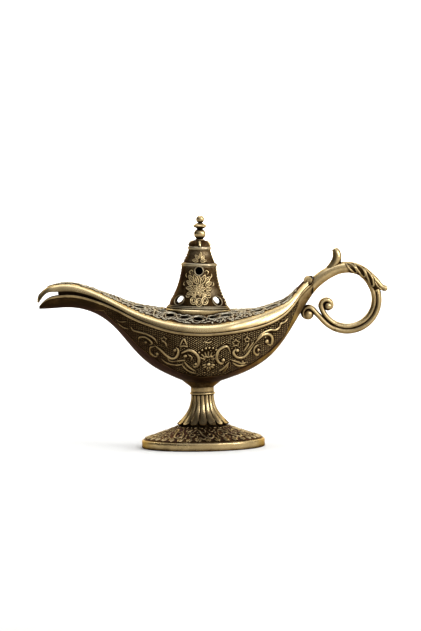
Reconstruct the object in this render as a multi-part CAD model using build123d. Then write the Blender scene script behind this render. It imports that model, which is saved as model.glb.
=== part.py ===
"""Genie oil lamp: an antique-brass boat-shaped lamp on a fluted pedestal, with a hinged lid and ring handle.

Frame: millimetres, +Z up, +X towards the handle and -X towards the spout. The origin is the centre of the
foot's flat underside, on the pedestal's axis. Tables named shares hold fractions of the sizes they follow.
"""

import os
from collections import namedtuple
from math import cos, hypot, radians, sin

from build123d import *

os.makedirs("parts", exist_ok=True)

# Shared clearances and the overrun that every cut uses
OVERRUN = 1.0
SEAM_GAP = 0.2
RUNNING_GAP = 0.05
SIDE_GAP = 0.15
BRAZE_GAP = 0.15

# Pedestal
PEDESTAL_HEIGHT = 22.1
FOOT_RADIUS = 24.6
FOOT_BAND = 2.8
FOOT_STEP = 1.0
FLUTE_FOOT_RADIUS = 10.6
FLUTE_FOOT_HEIGHT = 9.2
STEM_RADIUS = 4.5
PEDESTAL_WALL = 1.6
STEM_BORE = 3.1
STEM_WEB = 2.2
FLUTES = 16
FLUTE_DEPTH = 0.45
SCREW_RADIUS = 1.5
SCREW_HEAD_RADIUS = 2.6
SCREW_HEAD_HEIGHT = 1.8
SCREW_HOLE_GAP = 0.1
WASHER_RADIUS = 2.9
WASHER_THICKNESS = 0.6

# Bowl: reaches from the pedestal's axis, its depth amidships and how far its lip rises towards each end
SPOUT_REACH = 64.6
STERN_REACH = 45.0
HALF_BEAM = 25.5
HULL_DEPTH = 21.7
KEEL_OVER_PEDESTAL = 3.1
SPOUT_LIP_RISE = 15.4
STERN_LIP_RISE = 18.5
BOWL_WALL = 1.5
BULKHEAD = 6.5
COLLAR_RADIUS = 4.6
COLLAR_FLARE_RADIUS = 8.0
COLLAR_HEIGHT = 2.2
BOSS_RADIUS = 3.6
BOSS_RISE = 2.7

# Lid: heights above the bowl's lip, and the piercings of its crown
MOUTH_GAP = 2.4
CROWN_RISE = 7.9
BAND_HEIGHT = 3.2
BAND_WIDTH = 3.3
BAND_EASE = 2.6
LID_WALL = 1.4
BEAK_OVERHANG = 0.8
GARLAND_PIERCINGS = 18
GARLAND_GAP = 3.4
GARLAND_RADIUS = 1.5
RUNNER_SPACING = 5.2
SPOUT_RUNNER_START = 24.5
STERN_RUNNER_START = 22.5
SPOUT_RUNNERS = 6
STERN_RUNNERS = 3
RUNNER_SHARE = 0.16

# Hinge at the lid's tail
PIN_FROM_STERN = 2.0
PIN_OVER_LIP = 0.4
PIN_RADIUS = 0.6
KNUCKLE_RADIUS = 1.75
KNUCKLE_HALF_WIDTH = 3.3
TONGUE_HALF_WIDTH = 1.2
TONGUE_HEAD = 1.9
TONGUE_NOSE = 0.6
RECESS_GAP = 0.25

# Dome and its finial, measured along the dome's own leaning axis
DOME_LEAN = 2.4
SEAT_X = -1.1
SEAT_STEP = 0.4
SEAT_RADIUS = 13.4
SEAT_THICKNESS = 2.6
SMOKE_HOLE_RADIUS = 9.0
DOME_HEIGHT = 27.4
DOME_RADIUS = 12.6
DOME_WALL = 1.3
FLANGE_THICKNESS = 1.4
VENT_RADIUS = 1.7
LOWER_VENTS = 4
LOWER_VENT_HEIGHT = 3.5
UPPER_VENTS = 3
UPPER_VENT_HEIGHT = 15.4
UPPER_VENT_RADIUS = 1.4
RING_BULGE = 0.3
FINIAL_HEIGHT = 9.9
FINIAL_RADIUS = 2.4
KNOB_RADIUS = 1.5
KNOB_START = -50.0
STUD_RADIUS = 1.2
STUD_LENGTH = 4.6
FINIAL_NUT_THICKNESS = 1.6
FINIAL_NUT_RADIUS = 2.4
RIVETS = 4
RIVET_RADIUS = 0.7
RIVET_HEAD_RADIUS = 1.3
RIVET_HEAD_HEIGHT = 0.6

# Handle: a ring about one centre, with a strap that leads to the stern
RING_FROM_STERN = 13.5
RING_DROP = 7.7
STRAP_HALF_DEPTH = 2.4
STRAP_HALF_WIDTH = 3.3
STRAP_RING_RADIUS = 12.8
STRAP_RING_START = 113.0
STRAP_RING_END = 18.0
STRAP_LEAD_RADIUS = 28.0
STRAP_LEAD_TURN = 26.0
STRAND_HALF_DEPTH = 1.03
STRAND_HALF_WIDTH = 1.8
STRAND_STEP = 2.0
INNER_RING_END = -165.0
OUTER_RING_END = -138.0
INNER_CURL_RADIUS = 2.3
OUTER_CURL_RADIUS = 2.3
OUTER_LEAD = 6.7
CURL_TURN = 250.0
CURL_BULB_RADIUS = 1.35
LEAF_START = 100.0
LEAF_HALF_WIDTH = 2.9
LEAF_HALF_DEPTH = 1.3
LEAF_TIP_OUT = 2.7
LEAF_TIP_ANGLE = 17.5
LEAF_TIP_RADIUS = 1.3
LOBE_RADIUS = 0.85
THUMB_BACK = 4.1
THUMB_RISE = 8.2
THUMB_HALF_DEPTH = 2.6
THUMB_HALF_WIDTH = 2.6

# Heights that follow from those sizes
KEEL_HEIGHT = PEDESTAL_HEIGHT + KEEL_OVER_PEDESTAL
LIP_HEIGHT = KEEL_HEIGHT + HULL_DEPTH
STERN_LIP_HEIGHT = LIP_HEIGHT + STERN_LIP_RISE
PIN_HEIGHT = STERN_LIP_HEIGHT + PIN_OVER_LIP
SEAT_HEIGHT = LIP_HEIGHT + SEAM_GAP + CROWN_RISE + SEAT_STEP

# Table of offsets, from the spout's tip to the stern: place along the reach, depth, lip's rise, beam, mouth
# gap, crown and rim band, each a share of the size with that name
Station = namedtuple("Station", "x depth lip beam mouth crown band")
SPOUT_SHARES = (
    Station(1.00, 0.018, 0.688, 0.059, 1.00, 0.316, 0.50),
    Station(0.96, 0.151, 0.864, 0.114, 0.83, 0.291, 0.60),
    Station(0.90, 0.224, 0.971, 0.153, 0.52, 0.367, 0.80),
    Station(0.80, 0.240, 1.000, 0.200, 0.40, 0.418, 0.85),
    Station(0.68, 0.255, 0.906, 0.278, 0.25, 0.380, 0.75),
    Station(0.54, 0.385, 0.685, 0.443, 0.04, 0.424, 0.70),
    Station(0.39, 0.693, 0.373, 0.631, 0.00, 0.608, 0.78),
    Station(0.30, 0.822, 0.224, 0.760, 0.00, 0.747, 0.86),
    Station(0.20, 0.895, 0.097, 0.878, 0.00, 0.880, 0.95),
    Station(0.10, 0.970, 0.028, 0.967, 0.00, 0.970, 0.98),
)
MIDDLE_SHARES = Station(0.00, 1.000, 0.000, 1.000, 0.00, 1.000, 1.00)
STERN_SHARES = (
    Station(0.14, 0.966, 0.006, 0.994, 0.00, 0.962, 1.00),
    Station(0.27, 0.904, 0.030, 0.957, 0.00, 0.890, 1.08),
    Station(0.38, 0.848, 0.062, 0.885, 0.00, 0.805, 1.20),
    Station(0.49, 0.773, 0.108, 0.796, 0.00, 0.728, 1.30),
    Station(0.67, 0.594, 0.251, 0.588, 0.00, 0.696, 1.28),
    Station(0.80, 0.421, 0.481, 0.400, 0.00, 0.544, 0.95),
    Station(0.90, 0.344, 0.778, 0.247, 0.00, 0.456, 0.72),
    Station(1.00, 0.226, 1.000, 0.141, 0.00, 0.380, 0.60),
)


class Lines:
    """The hull's real sizes at one station."""

    def __init__(self, row, reach, lip_rise):
        self.x = row.x * reach
        self.lip = LIP_HEIGHT + row.lip * lip_rise
        self.keel = self.lip - row.depth * HULL_DEPTH
        self.beam = row.beam * HALF_BEAM
        self.seam = self.lip + SEAM_GAP + row.mouth * MOUTH_GAP
        self.crown = self.seam + row.crown * CROWN_RISE
        self.band_top = self.seam + row.band * BAND_HEIGHT
        self.band_width = BAND_WIDTH * self.beam / (self.beam + BAND_EASE)
        self.shoulder = self.beam - self.band_width


HULL = [Lines(row, -SPOUT_REACH, SPOUT_LIP_RISE) for row in SPOUT_SHARES]
HULL += [Lines(row, STERN_REACH, STERN_LIP_RISE) for row in (MIDDLE_SHARES, *STERN_SHARES)]


def across(x):
    """Plane across the hull at x, with its own x along Y and its own y up."""
    return Plane(origin=(x, 0, 0), x_dir=(0, 1, 0), z_dir=(1, 0, 0))


def hull_section(line, inset):
    """Half-ellipse below the lip, moved in by the wall, and open to above the lip when it is a cavity."""
    beam = line.beam - inset
    depth = line.lip - line.keel - inset
    arc = EllipticalCenterArc((0, line.lip), beam, depth, start_angle=180, arc_size=180)
    if inset:
        top = line.lip + OVERRUN
        rim = Polyline((beam, line.lip), (beam, top), (-beam, top), (-beam, line.lip))
    else:
        rim = Line((beam, line.lip), (-beam, line.lip))
    return across(line.x) * make_face([arc, *rim.edges()])


def lid_section(line, x, inset):
    """Rim band as quarter ellipses and crown as one arc, moved in by the wall when it is the hollow."""
    outer = line.beam - inset
    shoulder = line.shoulder
    band_rise = line.band_top - line.seam - inset
    band_top = line.seam + band_rise
    band = (outer - shoulder, band_rise)
    right = EllipticalCenterArc((shoulder, line.seam), *band, start_angle=0, arc_size=90)
    left = EllipticalCenterArc((-shoulder, line.seam), *band, start_angle=90, arc_size=90)
    crown = ThreePointArc((shoulder, band_top), (0, line.crown - inset), (-shoulder, band_top))
    base = line.seam - OVERRUN if inset else line.seam
    if inset:
        rim = Polyline((-outer, line.seam), (-outer, base), (outer, base), (outer, line.seam))
    else:
        rim = Line((-outer, base), (outer, base))
    return across(x) * make_face([right, crown, left, *rim.edges()])


def hull_at(x, name):
    """Straight-line reading at x of one of the hull's sizes."""
    for low, high in zip(HULL, HULL[1:]):
        if low.x <= x <= high.x:
            part = (x - low.x) / (high.x - low.x)
            return getattr(low, name) + part * (getattr(high, name) - getattr(low, name))
    raise ValueError("outside the hull")


def standing(radius, height):
    """Cylinder that stands on its own origin."""
    return Cylinder(radius, height, align=(Align.CENTER, Align.CENTER, Align.MIN))


def hanging(radius, height):
    """Cylinder that hangs down from its own origin."""
    return Cylinder(radius, height, align=(Align.CENTER, Align.CENTER, Align.MAX))


def turned(*points):
    """Solid of revolution about Z from its half outline, given as radius and height."""
    outline = make_face(Polyline(*points, close=True))
    return revolve(Plane.XZ * outline, Axis.Z)


# The pin's axis and the dome's own frame
PIN_X = STERN_REACH - PIN_FROM_STERN
PIN_AXIS = Plane(origin=(PIN_X, 0, PIN_HEIGHT), x_dir=(1, 0, 0), z_dir=(0, -1, 0))
DOME_FRAME = Location((SEAT_X, 0, SEAT_HEIGHT), (0, DOME_LEAN, 0))


def along_pin(radius, half_width):
    """Cylinder on the hinge's axis."""
    return PIN_AXIS * extrude(Circle(radius), half_width, both=True)


def block(x_low, x_high, half_width, z_low, z_high):
    """Box given by its limits, centred on the lamp's middle plane."""
    size = (x_high - x_low, 2 * half_width, z_high - z_low)
    return Pos((x_low + x_high) / 2, 0, (z_low + z_high) / 2) * Box(*size)


# Bowl
hull = loft([hull_section(line, 0) for line in HULL])
cavity_lines = [line for line in HULL[1:] if line.x < STERN_REACH - BULKHEAD]
cavity_sections = [hull_section(line, BOWL_WALL) for line in cavity_lines]
cavity = loft(cavity_sections)
mouth_run = HULL[0].x - HULL[1].x - OVERRUN
mouth_cut = extrude(cavity_sections[0], mouth_run)
collar_top = PEDESTAL_HEIGHT + COLLAR_HEIGHT
floor_top = KEEL_HEIGHT + BOWL_WALL
collar = turned(
    (0, PEDESTAL_HEIGHT),
    (COLLAR_RADIUS, PEDESTAL_HEIGHT),
    (COLLAR_RADIUS, collar_top),
    (COLLAR_FLARE_RADIUS, floor_top),
    (0, floor_top),
)
boss_top = floor_top + BOSS_RISE
boss = Pos(0, 0, floor_top) * standing(BOSS_RADIUS, BOSS_RISE)
tongue_foot = hull_at(PIN_X, "keel") + BOWL_WALL
tongue_head = block(PIN_X - TONGUE_NOSE, STERN_REACH, TONGUE_HALF_WIDTH, PIN_HEIGHT, PIN_HEIGHT + TONGUE_HEAD)
tongue_root = block(PIN_X - KNUCKLE_RADIUS, STERN_REACH, TONGUE_HALF_WIDTH, tongue_foot, PIN_HEIGHT)
tongue = along_pin(KNUCKLE_RADIUS, TONGUE_HALF_WIDTH) + tongue_head + tongue_root
recess = along_pin(KNUCKLE_RADIUS + RECESS_GAP, HALF_BEAM)
pin_bore = along_pin(PIN_RADIUS + RUNNING_GAP / 2, HALF_BEAM)
screw_top = boss_top - BOWL_WALL
screw_bore = Pos(0, 0, screw_top + SCREW_HOLE_GAP) * hanging(SCREW_RADIUS + RUNNING_GAP, PEDESTAL_HEIGHT)
bowl = hull - recess - cavity - mouth_cut + collar + boss + tongue - pin_bore - screw_bore

# Lid
lid_x = [HULL[0].x - BEAK_OVERHANG] + [line.x for line in HULL[1:]]
shell = loft([lid_section(line, x, 0) for line, x in zip(HULL, lid_x)])
hollow_pairs = [(line, x) for line, x in zip(HULL, lid_x) if line in cavity_lines]
hollow_sections = [lid_section(line, x, LID_WALL) for line, x in hollow_pairs]
hollow = loft(hollow_sections)
beyond_tail = block(PIN_X, STERN_REACH + OVERRUN, HALF_BEAM, 0, 2 * PIN_HEIGHT)
knuckle = along_pin(KNUCKLE_RADIUS, KNUCKLE_HALF_WIDTH)
slot_reach = TONGUE_HEAD + RUNNING_GAP
slot = block(PIN_X - slot_reach, STERN_REACH, TONGUE_HALF_WIDTH + SIDE_GAP, 0, 2 * PIN_HEIGHT)
seat = DOME_FRAME * hanging(SEAT_RADIUS, SEAT_THICKNESS)
above_seat = DOME_FRAME * standing(SEAT_RADIUS, CROWN_RISE)
smoke_hole = DOME_FRAME * Cylinder(SMOKE_HOLE_RADIUS, 2 * CROWN_RISE)
lid = shell - hollow - beyond_tail + knuckle + seat - above_seat - smoke_hole - slot
lid -= along_pin(PIN_RADIUS + RUNNING_GAP, HALF_BEAM)


def piercing(x, y, radius):
    """Upright round hole through the lid's crown."""
    return Pos(x, y, hull_at(x, "band_top") - LID_WALL - OVERRUN) * standing(radius, 2 * CROWN_RISE)


def runners(start, way, count):
    """Piercings along the crown away from the dome: pairs where it is wide, then single middle ones."""
    holes = []
    for index in range(count):
        x = way * (start + index * RUNNER_SPACING)
        shoulder = hull_at(x, "shoulder")
        if shoulder > 2 * GARLAND_GAP:
            holes += [piercing(x, side * shoulder / 2, RUNNER_SHARE * shoulder) for side in (-1, 1)]
        else:
            holes.append(piercing(x, 0, RUNNER_SHARE * (shoulder + GARLAND_RADIUS)))
    return holes


# Garland of round holes about the dome's seat, and runners down the spout and the tail
garland_ring = SEAT_RADIUS + GARLAND_GAP
garland_turns = [radians(360 * (index + 0.5) / GARLAND_PIERCINGS) for index in range(GARLAND_PIERCINGS)]
garland_spots = [(SEAT_X + garland_ring * cos(turn), garland_ring * sin(turn)) for turn in garland_turns]
piercings = [piercing(x, y, GARLAND_RADIUS) for x, y in garland_spots]
piercings += runners(SPOUT_RUNNER_START, -1, SPOUT_RUNNERS) + runners(STERN_RUNNER_START, 1, STERN_RUNNERS)
lid -= piercings


# Hinge pin, held in the tongue and free in the cheeks
hinge_pin = along_pin(PIN_RADIUS, KNUCKLE_HALF_WIDTH + SIDE_GAP)


def on_dome(solid):
    """Place a solid, drawn upright about Z with its seat at zero, on the dome's leaning axis."""
    return DOME_FRAME * solid


def at_dome(shares):
    """Points of the dome's half outline, from height and radius shares."""
    return [(radius * DOME_RADIUS, height * DOME_HEIGHT) for height, radius in shares]


def bell_wall(inset):
    """Bell curve from the flange up to the middle ring, as one spline, moved in by the wall."""
    return Spline(*[(radius - inset, height) for radius, height in at_dome(BELL_SHARES)])


def raised_ring(low_share, high_share):
    """Rounded ring's outline between two heights, standing out by its bulge."""
    low, high = at_dome((low_share, high_share))
    return ThreePointArc(low, ((low[0] + high[0]) / 2 + RING_BULGE, (low[1] + high[1]) / 2), high)


# Dome: height and radius of the bell, middle ring, rounded cap, upper ring and crest, as shares of its own
BELL_SHARES = ((0.05, 0.92), (0.12, 0.88), (0.20, 0.785), (0.34, 0.667), (0.49, 0.587), (0.62, 0.55))
RING_SHARES = ((0.62, 0.55), (0.665, 0.53))
CAP_SHARES = ((0.675, 0.495), (0.708, 0.468), (0.78, 0.397), (0.854, 0.349))
UPPER_RING_SHARES = ((0.862, 0.35), (0.905, 0.35))
CREST_SHARES = ((0.915, 0.335), (0.97, 0.265), (1.00, 0.18))
bell = bell_wall(0)
middle_ring = raised_ring(*RING_SHARES)
cap = Spline(*at_dome(CAP_SHARES))
upper_ring = raised_ring(*UPPER_RING_SHARES)
crest = Spline(*at_dome(CREST_SHARES))
foot = Polyline((0, DOME_HEIGHT), (0, 0), (DOME_RADIUS, 0), (DOME_RADIUS, FLANGE_THICKNESS / 2), bell @ 0)
joined = ((middle_ring, cap), (cap, upper_ring), (upper_ring, crest), (crest, foot))
steps = [Line(low @ 1, high @ 0) for low, high in joined]
dome_outline = make_face([bell, middle_ring, cap, upper_ring, crest, *steps, *foot.edges()])
dome_core = bell_wall(DOME_WALL)
web_height = CAP_SHARES[-1][0] * DOME_HEIGHT
flange_bore = DOME_RADIUS - DOME_WALL - 2 * RIVET_HEAD_RADIUS
core_top = CAP_SHARES[-1][1] * DOME_RADIUS - DOME_WALL
core_side = Polyline(
    dome_core @ 1, (core_top, web_height), (0, web_height), (0, -OVERRUN), (flange_bore, -OVERRUN)
)
core_step = Polyline(core_side @ 1, (flange_bore, FLANGE_THICKNESS), (dome_core @ 0))
core_outline = make_face([dome_core, *core_side.edges(), *core_step.edges()])
dome = revolve(Plane.XZ * dome_outline, Axis.Z) - revolve(Plane.XZ * core_outline, Axis.Z)


def vent(radius, height, heading):
    """Round vent through one side of the dome's wall."""
    tool = Plane.YZ * extrude(Circle(radius), DOME_RADIUS + OVERRUN)
    return Rot(0, 0, heading) * (Pos(0, 0, height) * tool)


for index in range(LOWER_VENTS):
    dome -= vent(VENT_RADIUS, LOWER_VENT_HEIGHT, 360 * (index + 0.5) / LOWER_VENTS)
for index in range(UPPER_VENTS):
    dome -= vent(UPPER_VENT_RADIUS, UPPER_VENT_HEIGHT, 360 * index / UPPER_VENTS - 90)
stud_bore = Pos(0, 0, web_height - OVERRUN) * standing(STUD_RADIUS + RUNNING_GAP, DOME_HEIGHT)
rivet_ring = flange_bore + RIVET_HEAD_RADIUS
rivet_spots = [location for location in PolarLocations(rivet_ring, RIVETS)]
rivet_bores = [spot * Cylinder(RIVET_RADIUS + RUNNING_GAP / 2, 4 * SEAT_THICKNESS) for spot in rivet_spots]
spot_face = Pos(0, 0, -SEAT_THICKNESS) * hanging(RIVET_HEAD_RADIUS + SEAM_GAP, CROWN_RISE)
spot_faces = [spot * spot_face for spot in rivet_spots]
dome = dome - stud_bore - rivet_bores
lid -= [on_dome(tool) for tool in rivet_bores + spot_faces]

# Finial: two balls as arcs and a double cone between them, as height and radius shares of its own
BASE_SHARES = ((0.00, 0.70), (0.05, 0.52), (0.08, 0.52))
BALL_SHARES = ((0.08, 0.52), (0.215, 0.88), (0.35, 0.52))
CONE_SHARES = (
    (0.35, 0.52),
    (0.40, 0.47),
    (0.45, 0.56),
    (0.54, 0.97),
    (0.57, 1.00),
    (0.60, 0.95),
    (0.69, 0.50),
)


def at_finial(shares):
    """Points of the finial's half outline, from height and radius shares."""
    return [(radius * FINIAL_RADIUS, DOME_HEIGHT + height * FINIAL_HEIGHT) for height, radius in shares]


stud_foot = DOME_HEIGHT - STUD_LENGTH
finial_base = Polyline(*at_finial(BASE_SHARES))
knob = CenterArc((0, DOME_HEIGHT + FINIAL_HEIGHT - KNOB_RADIUS), KNOB_RADIUS, KNOB_START, 90 - KNOB_START)
finial_stud = Polyline(
    (0, DOME_HEIGHT + FINIAL_HEIGHT),
    (0, stud_foot),
    (STUD_RADIUS, stud_foot),
    (STUD_RADIUS, DOME_HEIGHT),
    finial_base @ 0,
)
finial_outline = make_face(
    [
        *finial_stud.edges(),
        *finial_base.edges(),
        ThreePointArc(*at_finial(BALL_SHARES)),
        *Polyline(*at_finial(CONE_SHARES), knob @ 0).edges(),
        knob,
    ]
)
finial = revolve(Plane.XZ * finial_outline, Axis.Z)
nut_outline = RegularPolygon(FINIAL_NUT_RADIUS, 6) - Circle(STUD_RADIUS + RUNNING_GAP)
finial_nut = Pos(0, 0, web_height - FINIAL_NUT_THICKNESS) * extrude(nut_outline, FINIAL_NUT_THICKNESS)

# Rivets: head under the lid's seat, shank through both, flush in the flange
rivet_shank = Pos(0, 0, -SEAT_THICKNESS) * standing(RIVET_RADIUS, SEAT_THICKNESS + FLANGE_THICKNESS)
rivet_head = Pos(0, 0, -SEAT_THICKNESS) * hanging(RIVET_HEAD_RADIUS, RIVET_HEAD_HEIGHT)
dome_rivets = Compound(children=[on_dome(spot * (rivet_shank + rivet_head)) for spot in rivet_spots])

# Pedestal: fluted trumpet lofted through lobed rings, on a turned foot, hollow from below
STEM_SHARES = ((0.000, 1.000), (0.125, 0.770), (0.280, 0.470), (0.470, 0.205), (0.720, 0.035), (1.000, 0.000))


def lobed_ring(height, radius):
    """Ring of outward arcs that meet in the flutes' valleys."""
    valley = radius * (1 - FLUTE_DEPTH / STEM_RADIUS)
    step = 360 / FLUTES
    arcs = []
    for index in range(FLUTES):
        turns = [radians(step * (index + part)) for part in (0, 0.5, 1)]
        radii = (valley, radius, valley)
        arcs.append(ThreePointArc(*[(r * cos(turn), r * sin(turn)) for r, turn in zip(radii, turns)]))
    return Pos(0, 0, height) * make_face(arcs)


flute_run = PEDESTAL_HEIGHT - FLUTE_FOOT_HEIGHT - RUNNING_GAP
flute_spread = FLUTE_FOOT_RADIUS - STEM_RADIUS
stem = loft(
    [
        lobed_ring(FLUTE_FOOT_HEIGHT + height * flute_run, STEM_RADIUS + spread * flute_spread)
        for height, spread in STEM_SHARES
    ]
)
cone_radius = FOOT_RADIUS - FOOT_STEP
cone_height = FOOT_BAND + FOOT_STEP / 2
cone = ThreePointArc(
    (cone_radius, cone_height),
    (
        (cone_radius + FLUTE_FOOT_RADIUS) / 2 - FOOT_STEP / 4,
        (cone_height + FLUTE_FOOT_HEIGHT) / 2 - FOOT_STEP / 4,
    ),
    (FLUTE_FOOT_RADIUS - FLUTE_DEPTH, FLUTE_FOOT_HEIGHT),
)
foot_rim = Polyline((0, 0), (FOOT_RADIUS, 0), (FOOT_RADIUS, FOOT_BAND), (cone_radius, cone_height))
foot_top = Polyline(cone @ 1, (0, FLUTE_FOOT_HEIGHT), (0, 0))
base = revolve(Plane.XZ * make_face([*foot_rim.edges(), cone, *foot_top.edges()]), Axis.Z)
base = fillet(base.edges().group_by(Axis.Z)[0], FOOT_STEP / 2)
web_bottom = PEDESTAL_HEIGHT - STEM_WEB
under = Polyline(
    (0, -OVERRUN),
    (FOOT_RADIUS - PEDESTAL_WALL, -OVERRUN),
    (FOOT_RADIUS - PEDESTAL_WALL, FOOT_BAND / 2),
    (FLUTE_FOOT_RADIUS - PEDESTAL_WALL, FLUTE_FOOT_HEIGHT - PEDESTAL_WALL),
)
(waist_share, waist_spread), (throat_share, _) = STEM_SHARES[2:4]
throat = Spline(
    (FLUTE_FOOT_RADIUS - PEDESTAL_WALL, FLUTE_FOOT_HEIGHT - PEDESTAL_WALL),
    (STEM_RADIUS + waist_spread * flute_spread - PEDESTAL_WALL, FLUTE_FOOT_HEIGHT + waist_share * flute_run),
    (STEM_BORE, FLUTE_FOOT_HEIGHT + throat_share * flute_run + PEDESTAL_WALL),
)
chimney = Polyline(throat @ 1, (STEM_BORE, web_bottom), (0, web_bottom), (0, -OVERRUN))
hollow_foot = revolve(Plane.XZ * make_face([*under.edges(), throat, *chimney.edges()]), Axis.Z)
pedestal_bore = Cylinder(SCREW_RADIUS + SCREW_HOLE_GAP, 2 * PEDESTAL_HEIGHT + OVERRUN)
pedestal = base + stem - hollow_foot - pedestal_bore

# Screw and washer up inside the stem
washer_ring = Circle(WASHER_RADIUS) - Circle(SCREW_RADIUS + SCREW_HOLE_GAP)
washer_bottom = web_bottom - WASHER_THICKNESS
pedestal_washer = Pos(0, 0, washer_bottom) * extrude(washer_ring, WASHER_THICKNESS)
pedestal_screw = turned(
    (0, washer_bottom - SCREW_HEAD_HEIGHT),
    (SCREW_HEAD_RADIUS, washer_bottom - SCREW_HEAD_HEIGHT),
    (SCREW_HEAD_RADIUS, washer_bottom),
    (SCREW_RADIUS, washer_bottom),
    (SCREW_RADIUS, screw_top),
    (0, screw_top),
)

# Handle: round stretches are turned about their own centres, all in the lamp's middle plane


def bent(centre, radius, start, turn, half_depth, half_width):
    """Elliptical bar bent about a centre in X and Z, from a start angle, clockwise when turn is positive."""
    angle = radians(start)
    way = (cos(angle), 0, sin(angle))
    origin = (centre[0] + radius * way[0], 0, centre[1] + radius * way[2])
    plane = Plane(origin=origin, x_dir=way, z_dir=(-sin(angle), 0, cos(angle)))
    axis = Axis((centre[0], 0, centre[1]), (0, 1 if turn > 0 else -1, 0))
    return revolve(plane * Ellipse(half_depth, half_width), axis, abs(turn))


def on_circle(centre, radius, angle):
    """Point in X and Z at an angle round a centre."""
    return (centre[0] + radius * cos(radians(angle)), centre[1] + radius * sin(radians(angle)))


ring = (STERN_REACH + RING_FROM_STERN, STERN_LIP_HEIGHT - RING_DROP)


def ring_section(angle, radius, half_depth, half_width):
    """Ellipse across the ring at an angle round its centre."""
    x, z = on_circle(ring, radius, angle)
    way = (cos(radians(angle)), 0, sin(radians(angle)))
    normal = (sin(radians(angle)), 0, -cos(radians(angle)))
    return Plane(origin=(x, 0, z), x_dir=way, z_dir=normal) * Ellipse(half_depth, half_width)


# Strap round the top of the ring and the leaf on its back: place along the turn, radius, depth and width
STRAP_SHARES = (
    (0.0, 1.0, 1.0, 1.0),
    (0.30, 0.998, 0.96, 1.0),
    (0.62, 0.968, 0.76, 0.95),
    (1.0, 0.955, 0.74, 0.80),
)
LEAF_SHARES = (
    (0.0, 1.06, 0.55, 0.5),
    (0.25, 1.075, 1.0, 1.0),
    (0.60, 1.02, 1.0, 1.0),
    (1.0, 1.03, 0.9, 0.62),
)

# The leaf's lobes down the strap's sides: angle and radius share of each one's root and of its end
LOBE_SHARES = ((96.0, 1.10, 76.5, 0.90), (81.0, 1.08, 55.0, 0.92), (63.0, 1.06, 31.0, 0.90))


def along_ring(start, end, half_depth, half_width, shares):
    """Loft through ellipses spaced along part of the ring."""
    sections = []
    for place, radius, depth, width in shares:
        angle = start + place * (end - start)
        centre_radius = radius * STRAP_RING_RADIUS
        sections.append(ring_section(angle, centre_radius, depth * half_depth, width * half_width))
    return loft(sections)


strap = along_ring(STRAP_RING_START, STRAP_RING_END, STRAP_HALF_DEPTH, STRAP_HALF_WIDTH, STRAP_SHARES)
leaf = along_ring(LEAF_START, STRAP_RING_END, LEAF_HALF_DEPTH, LEAF_HALF_WIDTH, LEAF_SHARES)


def finger(start, end, side, start_radius, end_radius):
    """Turned taper with round ends between two points given as X and Z, at one distance to the side."""
    run = (end[0] - start[0], end[1] - start[1])
    length = hypot(*run)
    plane = Plane(origin=(start[0], side, start[1]), x_dir=(0, 1, 0), z_dir=(run[0], 0, run[1]))
    lean = cos(radians(45))
    root = ThreePointArc((0, -start_radius), (start_radius * lean, -start_radius * lean), (start_radius, 0))
    tip_middle = (end_radius * lean, length + end_radius * lean)
    end_arc = ThreePointArc((end_radius, length), tip_middle, (0, length + end_radius))
    outline = make_face([root, Line(root @ 1, end_arc @ 0), end_arc, Line(end_arc @ 1, root @ 0)])
    return plane * revolve(Plane.XZ * outline, Axis.Z)


neck = on_circle(ring, STRAP_RING_RADIUS, STRAP_RING_END + LEAF_TIP_ANGLE)
tip = on_circle(ring, STRAP_RING_RADIUS + LEAF_TIP_OUT, LEAF_TIP_ANGLE)
leaf_tip = finger(neck, tip, 0, LEAF_TIP_RADIUS, LEAF_TIP_RADIUS)
lobe_side = STRAP_HALF_WIDTH - LOBE_RADIUS
lobes = []
for start_angle, start_share, end_angle, end_share in LOBE_SHARES:
    root = on_circle(ring, start_share * STRAP_RING_RADIUS, start_angle)
    end = on_circle(ring, end_share * STRAP_RING_RADIUS, end_angle)
    for side in (-lobe_side, lobe_side):
        lobes.append(finger(root, end, side, LOBE_RADIUS / 2, LOBE_RADIUS))
lead_centre = on_circle(ring, STRAP_RING_RADIUS - STRAP_LEAD_RADIUS, STRAP_RING_START)
lead = bent(
    lead_centre,
    STRAP_LEAD_RADIUS,
    STRAP_RING_START + STRAP_LEAD_TURN,
    STRAP_LEAD_TURN,
    STRAP_HALF_DEPTH,
    STRAP_HALF_WIDTH,
)
lead -= block(0, STERN_REACH, HALF_BEAM, 0, 2 * PIN_HEIGHT)

# Thumb leaf: rise, lean, depth and width shares of its own sizes
THUMB_SHARES = (
    (0.0, 0.0, 1.0, 1.0),
    (0.27, 0.0, 0.74, 0.84),
    (0.60, 0.07, 0.60, 0.88),
    (0.87, 0.0, 0.42, 0.70),
    (1.0, -0.07, 0.22, 0.40),
)
thumb_x = ring[0] - THUMB_BACK
thumb_base = ring[1] + STRAP_RING_RADIUS
thumb_leaf = loft(
    [
        Pos(thumb_x + lean * THUMB_RISE, 0, thumb_base + rise * THUMB_RISE)
        * Ellipse(depth * THUMB_HALF_DEPTH, width * THUMB_HALF_WIDTH)
        for rise, lean, depth, width in THUMB_SHARES
    ]
)

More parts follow.
